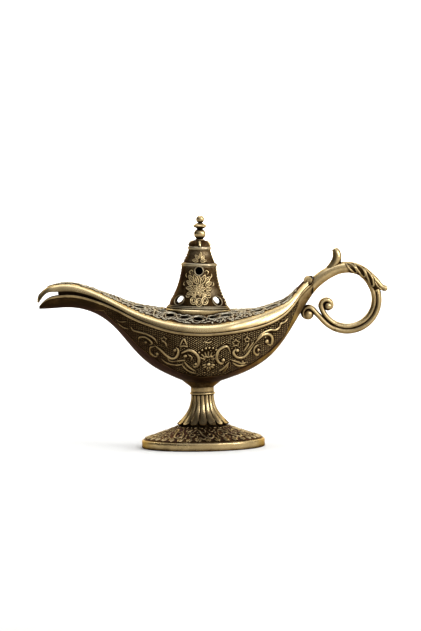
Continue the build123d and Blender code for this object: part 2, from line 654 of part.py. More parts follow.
# Two strands, each ending in a curl with a bulb
strand = [STRAND_HALF_DEPTH, STRAND_HALF_WIDTH]
inner_radius = STRAP_RING_RADIUS - STRAND_STEP
inner_ring = bent(ring, inner_radius, STRAP_RING_END, STRAP_RING_END - INNER_RING_END, *strand)
inner_curl_centre = on_circle(ring, inner_radius - INNER_CURL_RADIUS, INNER_RING_END)
inner_curl = bent(inner_curl_centre, INNER_CURL_RADIUS, INNER_RING_END, CURL_TURN, *strand)
outer_ring = bent(ring, STRAP_RING_RADIUS, STRAP_RING_END, STRAP_RING_END - OUTER_RING_END, *strand)
outer_end = on_circle(ring, STRAP_RING_RADIUS, OUTER_RING_END)
lead_angle = radians(OUTER_RING_END - 90)
lead_way = (cos(lead_angle), sin(lead_angle))
lead_plane = Plane(
    origin=(outer_end[0], 0, outer_end[1]),
    x_dir=(cos(radians(OUTER_RING_END)), 0, sin(radians(OUTER_RING_END))),
    z_dir=(lead_way[0], 0, lead_way[1]),
)
outer_lead = extrude(lead_plane * Ellipse(*strand), OUTER_LEAD)
curl_start = (outer_end[0] + OUTER_LEAD * lead_way[0], outer_end[1] + OUTER_LEAD * lead_way[1])
outer_curl_centre = on_circle(curl_start, OUTER_CURL_RADIUS, OUTER_RING_END)
outer_curl = bent(outer_curl_centre, OUTER_CURL_RADIUS, OUTER_RING_END + 180, -CURL_TURN, *strand)


def bulb(centre, radius, angle):
    """Round end of a curl."""
    x, z = on_circle(centre, radius, angle)
    return Pos(x, 0, z) * Sphere(CURL_BULB_RADIUS)


bulb_inset = CURL_BULB_RADIUS / 2
inner_bulb = bulb(inner_curl_centre, INNER_CURL_RADIUS - bulb_inset, INNER_RING_END - CURL_TURN)
outer_bulb = bulb(outer_curl_centre, OUTER_CURL_RADIUS - bulb_inset, OUTER_RING_END + 180 + CURL_TURN)
handle = strap + lead + leaf + lobes + leaf_tip + thumb_leaf + inner_ring + inner_curl + inner_bulb
handle += outer_ring + outer_lead + outer_curl + outer_bulb
stern_clearance = loft([hull_section(line, -BRAZE_GAP) for line in HULL if line.x > 0])
handle -= stern_clearance

export_step(bowl, "parts/bowl.step")
export_step(handle, "parts/handle.step")
export_step(pedestal, "parts/pedestal.step")
export_step(pedestal_screw, "parts/pedestal_screw.step")
export_step(pedestal_washer, "parts/pedestal_washer.step")
export_step(hinge_pin, "parts/hinge_pin.step")
export_step(lid, "parts/lid.step")
export_step(on_dome(dome), "parts/dome.step")
export_step(on_dome(finial), "parts/finial.step")
export_step(on_dome(finial_nut), "parts/finial_nut.step")
export_step(dome_rivets, "parts/dome_rivets.step")
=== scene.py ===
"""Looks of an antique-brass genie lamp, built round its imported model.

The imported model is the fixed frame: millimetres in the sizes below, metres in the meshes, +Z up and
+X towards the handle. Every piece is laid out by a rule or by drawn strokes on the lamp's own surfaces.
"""

import logging
import math
from collections.abc import Callable, Iterable, Sequence
from dataclasses import dataclass, field
from enum import Enum
from typing import NamedTuple

import bmesh
import bpy
import numpy as np
from mathutils import Matrix, Vector


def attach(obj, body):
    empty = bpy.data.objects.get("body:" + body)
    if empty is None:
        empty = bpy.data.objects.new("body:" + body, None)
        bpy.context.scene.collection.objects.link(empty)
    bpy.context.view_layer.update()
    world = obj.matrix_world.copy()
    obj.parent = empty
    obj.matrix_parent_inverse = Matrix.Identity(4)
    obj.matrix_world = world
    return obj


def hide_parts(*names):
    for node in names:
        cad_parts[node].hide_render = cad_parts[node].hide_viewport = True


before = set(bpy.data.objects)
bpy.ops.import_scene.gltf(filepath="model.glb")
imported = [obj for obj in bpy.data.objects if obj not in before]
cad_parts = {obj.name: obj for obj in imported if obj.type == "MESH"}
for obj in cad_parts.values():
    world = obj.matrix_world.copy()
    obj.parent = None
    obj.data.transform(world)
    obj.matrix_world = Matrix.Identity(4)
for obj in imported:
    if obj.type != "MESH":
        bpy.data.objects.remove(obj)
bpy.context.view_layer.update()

LOG = logging.getLogger("lamp")
MM = 0.001
FRONT, BACK = -1, 1

Array = np.ndarray
Material = bpy.types.Material
Socket = bpy.types.NodeSocket
Thing = bpy.types.Object
Point = tuple[float, float]
Place = tuple[float, float, float]
Outline = tuple[Point, ...]
Strokes = tuple[tuple[float, Outline], ...]


class Body(Enum):
    """The two moving bodies of the lamp."""

    BASE = "lamp_base"
    LID = "lid_assembly"


class Slot(Enum):
    """Names of the record's material slots."""

    BOWL = "bowl_brass"
    HANDLE = "handle_brass"
    PEDESTAL = "pedestal_brass"
    LID = "lid_brass"
    DOME = "dome_brass"
    FINIAL = "finial_brass"


# The side view's picture scale: where the foot's middle stands, how many millimetres a step is, and the tilt
SIDE_FOOT = (203.5, 447.0)
SIDE_STEP = 0.4
SIDE_TILT = 0.0192


def side_view(points: Iterable[Point]) -> Array:
    """Turn picture places of the side view into the lamp's x and z.

    Args:
        points: Places across and down the picture.

    Returns:
        One row of x and z in millimetres for each place.
    """
    places = np.asarray(points, float)
    across, up = places[:, 0] - SIDE_FOOT[0], SIDE_FOOT[1] - places[:, 1]
    return SIDE_STEP * np.column_stack([across + up * SIDE_TILT, up - across * SIDE_TILT])


def natural_spline(knots: Sequence[float], values: Sequence[float]) -> Callable[[Array], Array]:
    """Smooth curve through a table, with no bend at its two ends.

    Args:
        knots: Rising places.
        values: The value at each place.

    Returns:
        A function that reads the curve at an array of places.
    """
    x, y = np.asarray(knots, float), np.asarray(values, float)
    step, count = np.diff(x), len(x)
    matrix, right = np.eye(count), np.zeros(count)
    for row in range(1, count - 1):
        matrix[row, row - 1 : row + 2] = step[row - 1], 2 * (step[row - 1] + step[row]), step[row]
        right[row] = 6 * ((y[row + 1] - y[row]) / step[row] - (y[row] - y[row - 1]) / step[row - 1])
    bend = np.linalg.solve(matrix, right)

    def read(place: Array) -> Array:
        """Value of the curve at each place.

        Args:
            place: Places, held within the knots.

        Returns:
            The values.
        """
        place = np.clip(np.asarray(place, float), x[0], x[-1])
        low = np.clip(np.searchsorted(x, place) - 1, 0, count - 2)
        left, ahead, run = place - x[low], x[low + 1] - place, step[low]
        cubic = (bend[low] * ahead**3 + bend[low + 1] * left**3) / (6 * run)
        from_low = y[low] / run - bend[low] * run / 6
        from_high = y[low + 1] / run - bend[low + 1] * run / 6
        return cubic + (from_low * ahead + from_high * left)

    return read


def ease(value: Array) -> Array:
    """Smooth step from 0 to 1."""
    value = np.clip(value, 0, 1)
    return value * value * (3 - 2 * value)


def flowing(points: Array, per_span: int = 7) -> Array:
    """Round a drawn line off through all its points.

    Args:
        points: Rows of places, in any number of dimensions.
        per_span: Steps between two neighbouring points.

    Returns:
        The denser line.
    """
    points = np.asarray(points, float)
    if len(points) < 3:
        return np.linspace(points[0], points[-1], per_span + 1)
    padded = np.vstack([2 * points[0] - points[1], points, 2 * points[-1] - points[-2]])
    line = []
    for before, start, end, after in zip(padded, padded[1:], padded[2:], padded[3:]):
        for part in np.arange(per_span) / per_span:
            cubic = -before + 3 * start - 3 * end + after
            square = 2 * before - 5 * start + 4 * end - after
            line.append(start + part * ((end - before) + part * (square + part * cubic)) / 2)
    return np.vstack([*line, points[-1]])


def about_z(radius: Array | float, turn: Array, height: Array | float) -> Array:
    """Places round the Z axis.

    Args:
        radius: Distances from the axis.
        turn: Angles in radians.
        height: Heights.

    Returns:
        Rows of x, y and z.
    """
    return np.stack(np.broadcast_arrays(radius * np.cos(turn), radius * np.sin(turn), height), -1)


def oval(centre: Point, long: float, short: float, steps: int, turn: float = 0.0) -> Array:
    """Places round an oval.

    Args:
        centre: Its middle.
        long: Half its length.
        short: Half its width.
        steps: How many places it has.
        turn: Its turn in radians.

    Returns:
        Rows of two coordinates.
    """
    angle = np.linspace(0, 2 * math.pi, steps, endpoint=False)
    u, v = long * np.cos(angle), short * np.sin(angle)
    c, s = math.cos(turn), math.sin(turn)
    return np.stack([centre[0] + u * c - v * s, centre[1] + u * s + v * c], -1)


def spun(points: Array, turn: float) -> Array:
    """Turn rows of two coordinates about zero by an angle in radians."""
    c, s = math.cos(turn), math.sin(turn)
    return points @ np.array([[c, s], [-s, c]])


def put(name: str, data: bpy.types.ID) -> Thing:
    """Put a mesh, light or camera in the scene.

    Args:
        name: The object's name.
        data: What it shows.

    Returns:
        The object, at the origin.
    """
    thing = bpy.data.objects.new(name, data)
    bpy.context.scene.collection.objects.link(thing)
    return thing


@dataclass(frozen=True)
class Perch:
    """The dome's leaning axis: its foot on the lid, its lean in degrees and its crest's height above that."""

    seat: Place = (-1.1, 0.0, 55.4)
    lean: float = 2.4
    crest: float = 27.4


PERCH = Perch()


# Meshes

# Points nearer than this, in millimetres, are one, and edges sharper than this, in degrees, stay sharp
MERGE = 1e-4
SHARP = 38

# Steps round a swept bar, a ball and a round bar, and a bar's groove and its patina as shares of the width
SWEEP_STEPS = 28
BALL_STEPS = 20
BAR_STEPS = 32
GROOVE_SHARE = 0.22
GROOVE_SHADE_SHARE = 0.15


@dataclass
class Skin:
    """Points in millimetres and the faces between them, gathered for one piece."""

    points: list[Array] = field(default_factory=list)
    faces: list[tuple[int, ...]] = field(default_factory=list)
    patina_and_shade: list[Array] = field(default_factory=list)
    count: int = 0

    def add(self, points: Array, patina_and_shade: Array | float = 0.0) -> Array:
        """Add points.

        Args:
            points: An array whose last axis is x, y and z.
            patina_and_shade: How dark each point is painted, 0 to 1, for patina and for painted shade.

        Returns:
            The points' numbers, in the shape of the array.
        """
        flat = points.reshape(-1, 3)
        self.points.append(flat)
        self.patina_and_shade.append(np.broadcast_to(patina_and_shade, points.shape[:-1]).reshape(-1).astype(float))
        numbers = np.arange(self.count, self.count + len(flat)).reshape(points.shape[:-1])
        self.count += len(flat)
        return numbers

    def grid(self, points: Array, patina_and_shade: Array | float = 0.0, around: bool = False) -> Array:
        """Add a sheet of four-sided faces.

        Args:
            points: Rows and columns of places.
            patina_and_shade: How dark each place is painted.
            around: Whether the last column joins the first.

        Returns:
            The points' numbers.
        """
        numbers = self.add(points, patina_and_shade)
        ring = np.column_stack([numbers, numbers[:, :1]]) if around else numbers
        for low, high in zip(ring, ring[1:]):
            self.faces.extend(zip(low[:-1].tolist(), low[1:].tolist(), high[1:].tolist(), high[:-1].tolist()))
        return numbers

    def wall(
        self,
        outer: Array,
        inner: Array,
        keep: Array,
        patina_and_shade: tuple[Array | float, float],
        around: bool,
    ) -> None:
        """Add two matching sheets with the openings' edges between them.

        Args:
            outer: Rows and columns of places on the outside.
            inner: The same on the inside.
            keep: For each cell, whether it is metal.
            patina_and_shade: How dark the outside and the inside are painted.
            around: Whether the last column joins the first.
        """
        outside, inside = self.add(outer, patina_and_shade[0]), self.add(inner, patina_and_shade[1])
        rows, columns = keep.shape
        metal = {}
        for row, column in zip(*np.nonzero(keep)):
            after = (column + 1) % outer.shape[1] if around else column + 1
            cell = [(row, column), (row, after), (row + 1, after), (row + 1, column)]
            self.faces.append(tuple(int(outside[place]) for place in cell))
            self.faces.append(tuple(int(inside[place]) for place in reversed(cell)))
            for start, end in zip(cell, cell[1:] + cell[:1]):
                metal[start, end] = None
        for start, end in metal:
            if (end, start) not in metal:
                rim = (outside[end], outside[start], inside[start], inside[end])
                self.faces.append(tuple(int(number) for number in rim))

    def turned(self, outline: Sequence[Point], steps: int) -> None:
        """Add a closed solid of revolution about Z.

        Args:
            outline: Closed half outline as radius and height, anticlockwise.
            steps: Steps round the axis.
        """
        ring = np.asarray([*outline, outline[0]], float)
        turn = np.linspace(0, 2 * math.pi, steps, endpoint=False)
        self.grid(about_z(ring[:, :1], turn, ring[:, 1:]), around=True)

    def sweep(
        self,
        line: Array,
        depth: Array,
        width: Array,
        groove: float = 0.0,
        hollow: float = 0.0,
    ) -> None:
        """Add a bar that follows a line in x and z, with round ends.

        Args:
            line: Rows of x and z along its middle.
            depth: Half its depth in that plane at each row.
            width: Half its width across it at each row.
            groove: How deep the groove down both its sides is, as a share of its width.
            hollow: How much darker its left side is painted, as painted shade, where it has turned up.
        """
        ahead = np.gradient(line, axis=0)
        ahead /= np.linalg.norm(ahead, axis=1, keepdims=True)
        left = np.stack([-ahead[:, 1], ahead[:, 0]], -1)
        turn = np.linspace(0, 2 * math.pi, SWEEP_STEPS, endpoint=False)
        share = np.cos(turn)
        pinch = 1 - groove * np.exp(-((share / GROOVE_SHARE) ** 2))
        across = line[:, None] + (depth[:, None] * share)[..., None] * left[:, None]
        y = width[:, None] * np.sin(turn) * pinch
        points = np.stack([across[..., 0], y, across[..., 1]], -1)
        shade = 0.8 * groove * np.exp(-((share / GROOVE_SHADE_SHARE) ** 2)) + np.zeros_like(y)
        # Painted shade on the bar's left side where it turns upwards.
        shade += hollow * (share > 0.2) * ease((ahead[:, 1:] - 0.6) / 0.3)
        numbers = self.grid(points, shade, around=True)
        self.faces.append(tuple(numbers[0][::-1].tolist()))
        self.faces.append(tuple(numbers[-1].tolist()))

    def ball(self, middle: Array, radius: float) -> None:
        """Add a ball on the lamp's middle plane.

        Args:
            middle: Its x and z.
            radius: Its radius.
        """
        up = np.linspace(-math.pi / 2, math.pi / 2, BALL_STEPS)[:, None]
        turn = np.linspace(0, 2 * math.pi, BALL_STEPS, endpoint=False)
        centre = np.array([middle[0], 0.0, middle[1]])
        self.grid(centre + radius * about_z(np.cos(up), turn, np.sin(up)), around=True)

    def tilt(self, first: int = 0) -> None:
        """Move points from the dome's leaning frame to the lamp's.

        Args:
            first: Number of the first batch of points that is moved.
        """
        turn = math.radians(PERCH.lean)
        c, s = math.cos(turn), math.sin(turn)
        spin = np.array([[c, 0, s], [0, 1, 0], [-s, 0, c]])
        self.points[first:] = [batch @ spin.T + PERCH.seat for batch in self.points[first:]]

    def plate(self, outline: Sequence[Point], low: float, high: float) -> None:
        """Add a flat piece that stands across Y, from an outline in x and z.

        Args:
            outline: Its corners.
            low: Its near side's y.
            high: Its far side's y.
        """
        ring = np.array([[(x, y, z) for x, z in outline] for y in (low, high)])
        near, far = self.grid(ring, around=True)
        self.faces.append(tuple(near.tolist()))
        self.faces.append(tuple(reversed(far.tolist())))

    def bar(self, centre: Place, radius: float, half_width: float) -> None:
        """Add a round bar across Y with eased ends.

        Args:
            centre: Its middle.
            radius: Its radius.
            half_width: Half its length.
        """
        edge = min(0.18, radius / 3)
        profile = ((0, -half_width), (radius - edge, -half_width), (radius, edge - half_width))
        profile += ((radius, half_width - edge), (radius - edge, half_width), (0, half_width))
        rows = [about_z(r, np.linspace(0, 2 * math.pi, BAR_STEPS, endpoint=False), y) for r, y in profile]
        self.grid(np.array(centre) + np.array(rows)[..., [0, 2, 1]], around=True)

    def piece(self, name: str) -> Thing:
        """Make the object, with its doubles merged, its faces turned outwards and its sharp edges kept.

        Args:
            name: The piece's name.

        Returns:
            The object, at the origin, in metres.
        """
        mesh = bpy.data.meshes.new(name)
        mesh.from_pydata((np.vstack(self.points) * MM).tolist(), [], self.faces)
        # How dark each point is painted: patina in hollows and on the grounds, and painted shade at the seam,
        # towards the spout and on the handle.
        store = mesh.attributes.new("patina_and_shade", "FLOAT", "POINT")
        store.data.foreach_set("value", np.concatenate(self.patina_and_shade).astype(np.float32))
        work = bmesh.new()
        work.from_mesh(mesh)
        bmesh.ops.remove_doubles(work, verts=work.verts, dist=MERGE * MM)
        bmesh.ops.dissolve_degenerate(work, edges=work.edges, dist=MERGE * MM)
        bmesh.ops.recalc_face_normals(work, faces=work.faces)
        work.to_mesh(mesh)
        work.free()
        mesh.shade_smooth()
        mesh.set_sharp_from_angle(angle=math.radians(SHARP))
        return put(name, mesh)


# Finishes


def blank_finish(name: str) -> tuple[Material, bpy.types.NodeTree, bpy.types.Node]:
    """Start a material.

    Args:
        name: Its name.

    Returns:
        The material, its node tree and its shader.
    """
    finish = bpy.data.materials.new(name)
    finish.use_nodes = True
    return finish, finish.node_tree, finish.node_tree.nodes["Principled BSDF"]


def cloud(tree: bpy.types.NodeTree, place: Socket, scale: float, detail: float) -> Socket:
    """Noise on the piece's own coordinates.

    Args:
        tree: The material's nodes.
        place: The coordinates.
        scale: Its repeats per metre.
        detail: Its finer octaves.

    Returns:
        The noise, 0 to 1.
    """
    noise = tree.nodes.new("ShaderNodeTexNoise")
    noise.inputs["Scale"].default_value = scale
    noise.inputs["Detail"].default_value = detail
    tree.links.new(place, noise.inputs["Vector"])
    return noise.outputs["Fac"]


def blend(tree: bpy.types.NodeTree, share: Socket, low: object, high: object) -> Socket:
    """Mix two colours.

    Args:
        tree: The material's nodes.
        share: How much of the second there is.
        low: The first, fixed or an output.
        high: The second, fixed or an output.

    Returns:
        The mixed colour.
    """
    mix = tree.nodes.new("ShaderNodeMix")
    mix.data_type = "RGBA"
    tree.links.new(share, mix.inputs["Factor"])
    for name, colour in (("A", low), ("B", high)):
        socket = next(s for s in mix.inputs if s.name == name and s.type == "RGBA")
        if isinstance(colour, tuple):
            socket.default_value = (*colour, 1.0)
        else:
            tree.links.new(colour, socket)
    return next(s for s in mix.outputs if s.type == "RGBA")


@dataclass(frozen=True)
class AgedBrass:
    """Cast brass with a brown patina that handling has rubbed off the high places, a painted highlight on
    upward faces and painted shade on downward ones.

    The colours are linear. The crevice is in millimetres, and mottle and grain are in repeats per metre.
    """

    name: str
    polished: Place = (0.54, 0.395, 0.19)
    # Painted highlight: the lighter colour that faces looking up are painted in.
    painted_top_highlight: Place = (0.54, 0.45, 0.28)
    patina: Place = (0.062, 0.031, 0.009)
    # The darkest colour, reached in deep patina and in painted shade.
    blackening: Place = (0.009, 0.0046, 0.0014)
    edge_tint: Place = (0.62, 0.44, 0.24)
    tarnish: float = 0.25
    # Painted shade: how much darker faces that look down are painted.
    painted_under_shade: float = 0.30
    gloss: float = 0.24
    crevice: float = 1.6
    mottle: float = 170.0
    grain: float = 2600.0
    dents: float = 0.08

    def build(self) -> Material:
        """Make the material.

        Returns:
            The finished material.
        """
        finish, tree, shader = blank_finish(self.name)
        shader.inputs["IOR"].default_value = 1.45
        shader.inputs["Specular IOR Level"].default_value = 0.2
        shader.inputs["Specular Tint"].default_value = (*self.edge_tint, 1.0)
        coordinates = tree.nodes.new("ShaderNodeTexCoord")
        place = coordinates.outputs["Object"]
        patina_and_shade = tree.nodes.new("ShaderNodeAttribute")
        patina_and_shade.attribute_name = "patina_and_shade"
        shelter = tree.nodes.new("ShaderNodeAmbientOcclusion")
        shelter.samples = 8
        shelter.inputs["Distance"].default_value = self.crevice * MM
        blotch = cloud(tree, place, self.mottle, 4.0)
        speck = cloud(tree, place, self.grain, 2.0)
        up = tree.nodes.new("ShaderNodeSeparateXYZ")
        tree.links.new(coordinates.outputs["Normal"], up.inputs["Vector"])

        def math_node(kind: str, first: object, second: object, clamp: bool = False) -> Socket:
            """Work out one sum.

            Args:
                kind: Blender's name of the sum.
                first: A value or an output.
                second: A value or an output.
                clamp: Whether the result is held between 0 and 1.

            Returns:
                The result.
            """
            node = tree.nodes.new("ShaderNodeMath")
            node.operation, node.use_clamp = kind, clamp
            for socket, value in zip(node.inputs, (first, second)):
                if isinstance(value, (int, float)):
                    socket.default_value = value
                else:
                    tree.links.new(value, socket)
            return node.outputs[0]

        hidden = math_node("SUBTRACT", 1.0, shelter.outputs["AO"])
        hidden = math_node("MULTIPLY", hidden, 1.9)
        # Occlusion darkens crevices as patina; the attribute adds patina and painted shade.
        sunk = math_node("ADD", hidden, math_node("MULTIPLY", patina_and_shade.outputs["Fac"], 0.78))
        cloudy = math_node("MULTIPLY", math_node("SUBTRACT", blotch, 0.5), 0.85)
        # Painted shade: faces that look down are painted darker.
        below = math_node("MULTIPLY", math_node("SUBTRACT", 0.15, up.outputs["Z"]), self.painted_under_shade)
        below = math_node("MAXIMUM", below, 0.0)
        dark = math_node("ADD", math_node("ADD", sunk, cloudy), math_node("ADD", below, self.tarnish - 0.12))
        dark = math_node("ADD", dark, math_node("MULTIPLY", math_node("SUBTRACT", speck, 0.5), 0.35), True)
        # Painted highlight: the more a face looks up, the more it takes the lighter top colour.
        sky = math_node("MULTIPLY", math_node("SUBTRACT", up.outputs["Z"], 0.1), 0.9, True)
        bright = blend(tree, sky, self.polished, self.painted_top_highlight)
        browned = blend(tree, math_node("MULTIPLY", dark, 1.25, True), bright, self.patina)
        deep = math_node("MULTIPLY", math_node("SUBTRACT", dark, 0.55), 1.9, True)
        tree.links.new(blend(tree, deep, browned, self.blackening), shader.inputs["Base Color"])
        metal = math_node("SUBTRACT", 1.0, math_node("MULTIPLY", deep, 0.3))
        tree.links.new(metal, shader.inputs["Metallic"])
        rough = math_node("ADD", self.gloss, math_node("MULTIPLY", dark, 0.30))
        rough = math_node("ADD", rough, math_node("MULTIPLY", math_node("SUBTRACT", speck, 0.5), 0.12))
        tree.links.new(rough, shader.inputs["Roughness"])
        bump = tree.nodes.new("ShaderNodeBump")
        bump.inputs["Strength"].default_value = self.dents
        bump.inputs["Distance"].default_value = 0.3 * MM
        tree.links.new(math_node("ADD", speck, math_node("MULTIPLY", blotch, 0.8)), bump.inputs["Height"])
        tree.links.new(bump.outputs["Normal"], shader.inputs["Normal"])
        return finish


@dataclass(frozen=True)
class PlatedSteel:
    """Zinc-plated steel of the hidden screw, washer and nut."""

    name: str = "zinc_plated_steel"
    colour: Place = (0.52, 0.53, 0.55)
    brush: float = 1800.0
    roughness: Point = (0.28, 0.46)

    def build(self) -> Material:
        """Make the material.

        Returns:
            The finished material.
        """
        finish, tree, shader = blank_finish(self.name)
        shader.inputs["Base Color"].default_value = (*self.colour, 1.0)
        shader.inputs["Metallic"].default_value = 1.0
        place = tree.nodes.new("ShaderNodeTexCoord").outputs["Object"]
        rough = tree.nodes.new("ShaderNodeMapRange")
        rough.inputs["To Min"].default_value, rough.inputs["To Max"].default_value = self.roughness
        tree.links.new(cloud(tree, place, self.brush, 3.0), rough.inputs["Value"])
        tree.links.new(rough.outputs["Result"], shader.inputs["Roughness"])
        return finish


BAND_BRASS = AgedBrass("band_brass", tarnish=0.18, painted_under_shade=0.30, gloss=0.27)
HULL_BRASS = AgedBrass("hull_brass", tarnish=0.42, painted_under_shade=0.42, gloss=0.30)
RELIEF_BRASS = AgedBrass("relief_brass", tarnish=0.06, painted_under_shade=0.60, gloss=0.27)
CROWN_BRASS = AgedBrass(
    "crown_brass", polished=(0.46, 0.41, 0.30), painted_top_highlight=(0.44, 0.43, 0.36), tarnish=0.14, gloss=0.30
)
DOME_BRASS = AgedBrass(
    "dome_brass", polished=(0.46, 0.37, 0.22), painted_top_highlight=(0.44, 0.41, 0.32), tarnish=0.26, gloss=0.30
)
BOUQUET_BRASS = AgedBrass("bouquet_brass", tarnish=-0.10, painted_under_shade=0.10, gloss=0.30, crevice=0.7)
FOOT_BRASS = AgedBrass("foot_brass", tarnish=0.22, painted_under_shade=0.45, gloss=0.26)
TUFT_BRASS = AgedBrass("tuft_brass", tarnish=0.14, gloss=0.28, painted_top_highlight=(0.42, 0.38, 0.28))
HANDLE_BRASS = AgedBrass("handle_brass", tarnish=0.20, painted_under_shade=0.45, gloss=0.26, crevice=2.2)
PIN_BRASS = AgedBrass("pin_brass", tarnish=0.2)
STEEL = PlatedSteel()


# Raised ornament


@dataclass
class Relief:
    """Raised strokes and beads for one piece, in millimetres, drawn once and repeated about an axis.

    Attributes:
        name: The piece's name.
        copies: How many times the drawing is repeated round Z.
        lean: Turn about Y in degrees after that.
        seat: Where the axis then stands.
        sides: Flats round a stroke.
        rounds: Subdivisions of a bead.
        blackening: How much darker it is painted at each x, 0 to 1, as painted shade.
    """

    name: str
    copies: int = 1
    lean: float = 0.0
    seat: Place = (0.0, 0.0, 0.0)
    sides: int = 8
    rounds: int = 2
    blackening: Callable[[Array], Array] = np.zeros_like
    points: list[Array] = field(default_factory=list)
    reach: list[float] = field(default_factory=list)
    round_bead: list[bool] = field(default_factory=list)
    edges: list[tuple[int, int]] = field(default_factory=list)

    def stroke(self, line: Array, width: float, ends: Point = (0.4, 0.4), closed: bool = False) -> None:
        """Add a rounded ridge along a line.

        Args:
            line: Places along it, in millimetres.
            width: Half its width at its middle.
            ends: Its width at its two ends, as shares.
            closed: Whether it runs back to its start.
        """
        first, count = len(self.points), len(line)
        along = np.linspace(0, 1, count)
        rising = ends[0] + (1 - ends[0]) * ease(along * 4)
        falling = ends[1] + (1 - ends[1]) * ease((1 - along) * 4)
        share = np.minimum(1, np.minimum(rising, falling))
        self.points.extend(line)
        self.reach.extend(width * (np.ones(count) if closed else share))
        self.round_bead.extend([False] * count)
        self.edges.extend((first + step, first + step + 1) for step in range(count - 1))
        if closed:
            self.edges.append((first + count - 1, first))

    def bead(self, centre: Array, radius: float) -> None:
        """Add one round bead.

        Args:
            centre: Its middle.
            radius: Its radius.
        """
        self.points.append(centre)
        self.reach.append(radius)
        self.round_bead.append(True)

    def piece(self, finish: Material) -> Thing:
        """Sweep, bead and repeat the drawing into one plain mesh.

        Args:
            finish: Its material.

        Returns:
            The finished object at the origin.
        """
        points = np.array(self.points)
        mesh = bpy.data.meshes.new(self.name)
        mesh.from_pydata((points * MM).tolist(), self.edges, [])
        for label, kind, values in (
            ("reach", "FLOAT", np.array(self.reach) * MM),
            ("bead", "BOOLEAN", self.round_bead),
            ("patina_and_shade", "FLOAT", self.blackening(points[:, 0])),
        ):
            mesh.attributes.new(label, kind, "POINT").data.foreach_set("value", values)
        thing = put(self.name, mesh)
        modifier = thing.modifiers.new("ornament", "NODES")
        modifier.node_group = ornament_tree()
        settings = {
            "Profile Sides": self.sides,
            "Bead Rounds": self.rounds,
            "Copies": self.copies,
            "Lean": math.radians(self.lean),
            "Seat": tuple(value * MM for value in self.seat),
            "Finish": finish,
        }
        for item in modifier.node_group.interface.items_tree:
            if item.name in settings:
                modifier[item.identifier] = settings[item.name]
        graph = bpy.context.evaluated_depsgraph_get()
        plain = bpy.data.meshes.new_from_object(thing.evaluated_get(graph))
        thing.modifiers.clear()
        thing.data = plain
        return thing


def ornament_tree() -> bpy.types.GeometryNodeTree:
    """Node tree that turns drawn lines and points into ridges and beads, repeated about an axis.

    Returns:
        The tree, made once.
    """
    found = bpy.data.node_groups.get("ornament")
    if found:
        return found
    tree = bpy.data.node_groups.new("ornament", "GeometryNodeTree")
    face = tree.interface
    face.new_socket("Drawing", in_out="INPUT", socket_type="NodeSocketGeometry")
    for name, kind in (
        ("Profile Sides", "Int"),
        ("Bead Rounds", "Int"),
        ("Copies", "Int"),
        ("Lean", "Float"),
        ("Seat", "Vector"),
        ("Finish", "Material"),
    ):
        face.new_socket(name, in_out="INPUT", socket_type=f"NodeSocket{kind}")
    face.new_socket("Ornament", in_out="OUTPUT", socket_type="NodeSocketGeometry")
    entry, leave = tree.nodes.new("NodeGroupInput"), tree.nodes.new("NodeGroupOutput")

    def node(kind: str, **inputs: object) -> bpy.types.Node:
        """Add a node.

        Args:
            kind: Its type.
            **inputs: A value or an output for each input, named with underscores for spaces.

        Returns:
            The node.
        """
        made = tree.nodes.new(kind)
        for name, value in inputs.items():
            socket = made.inputs[name.replace("_", " ")]
            if isinstance(value, Socket):
                tree.links.new(value, socket)
            else:
                socket.default_value = value
        return made

    def attribute(name: str, kind: str) -> Socket:
        """Read a named attribute of the drawing.

        Args:
            name: Its name.
            kind: Its data type.

        Returns:
            The node's output.
        """
        reader = node("GeometryNodeInputNamedAttribute", Name=name)
        reader.data_type = kind
        return next(s for s in reader.outputs if s.enabled and s.name == "Attribute")

    step = tree.nodes.new("ShaderNodeMath")
    step.operation = "DIVIDE"
    step.inputs[0].default_value = 2 * math.pi
    tree.links.new(entry.outputs["Copies"], step.inputs[1])
    turn = tree.nodes.new("ShaderNodeMath")
    turn.operation = "MULTIPLY"
    tree.links.new(node("GeometryNodeInputIndex").outputs[0], turn.inputs[0])
    tree.links.new(step.outputs[0], turn.inputs[1])
    spin = node("ShaderNodeCombineXYZ", Z=turn.outputs[0])
    stands = node("GeometryNodePoints", Count=entry.outputs["Copies"])
    ring = node(
        "GeometryNodeInstanceOnPoints",
        Points=stands.outputs[0],
        Instance=entry.outputs["Drawing"],
        Rotation=spin.outputs[0],
    )
    drawn = node("GeometryNodeRealizeInstances", Geometry=ring.outputs[0]).outputs[0]
    reach, is_bead = attribute("reach", "FLOAT"), attribute("bead", "BOOLEAN")
    lines = node("GeometryNodeMeshToCurve", Mesh=drawn)
    sides = entry.outputs["Profile Sides"]
    profile = node("GeometryNodeCurvePrimitiveCircle", Resolution=sides, Radius=1.0)
    ridges = node(
        "GeometryNodeCurveToMesh",
        Curve=lines.outputs[0],
        Profile_Curve=profile.outputs[0],
        Scale=reach,
        Fill_Caps=True,
    )
    ball = node("GeometryNodeMeshIcoSphere", Radius=1.0, Subdivisions=entry.outputs["Bead Rounds"])
    beads = node(
        "GeometryNodeInstanceOnPoints", Points=drawn, Selection=is_bead, Instance=ball.outputs[0], Scale=reach
    )
    joined = tree.nodes.new("GeometryNodeJoinGeometry")
    for part in (ridges.outputs[0], beads.outputs[0]):
        tree.links.new(part, joined.inputs[0])
    lean = node("ShaderNodeCombineXYZ", Y=entry.outputs["Lean"])
    placed = node(
        "GeometryNodeTransform",
        Geometry=joined.outputs[0],
        Translation=entry.outputs["Seat"],
        Rotation=lean.outputs[0],
    )
    real = node("GeometryNodeRealizeInstances", Geometry=placed.outputs[0])
    soft = node("GeometryNodeSetShadeSmooth", Geometry=real.outputs[0])
    done = node("GeometryNodeSetMaterial", Geometry=soft.outputs[0], Material=entry.outputs["Finish"])
    tree.links.new(done.outputs[0], leave.inputs[0])
    return tree


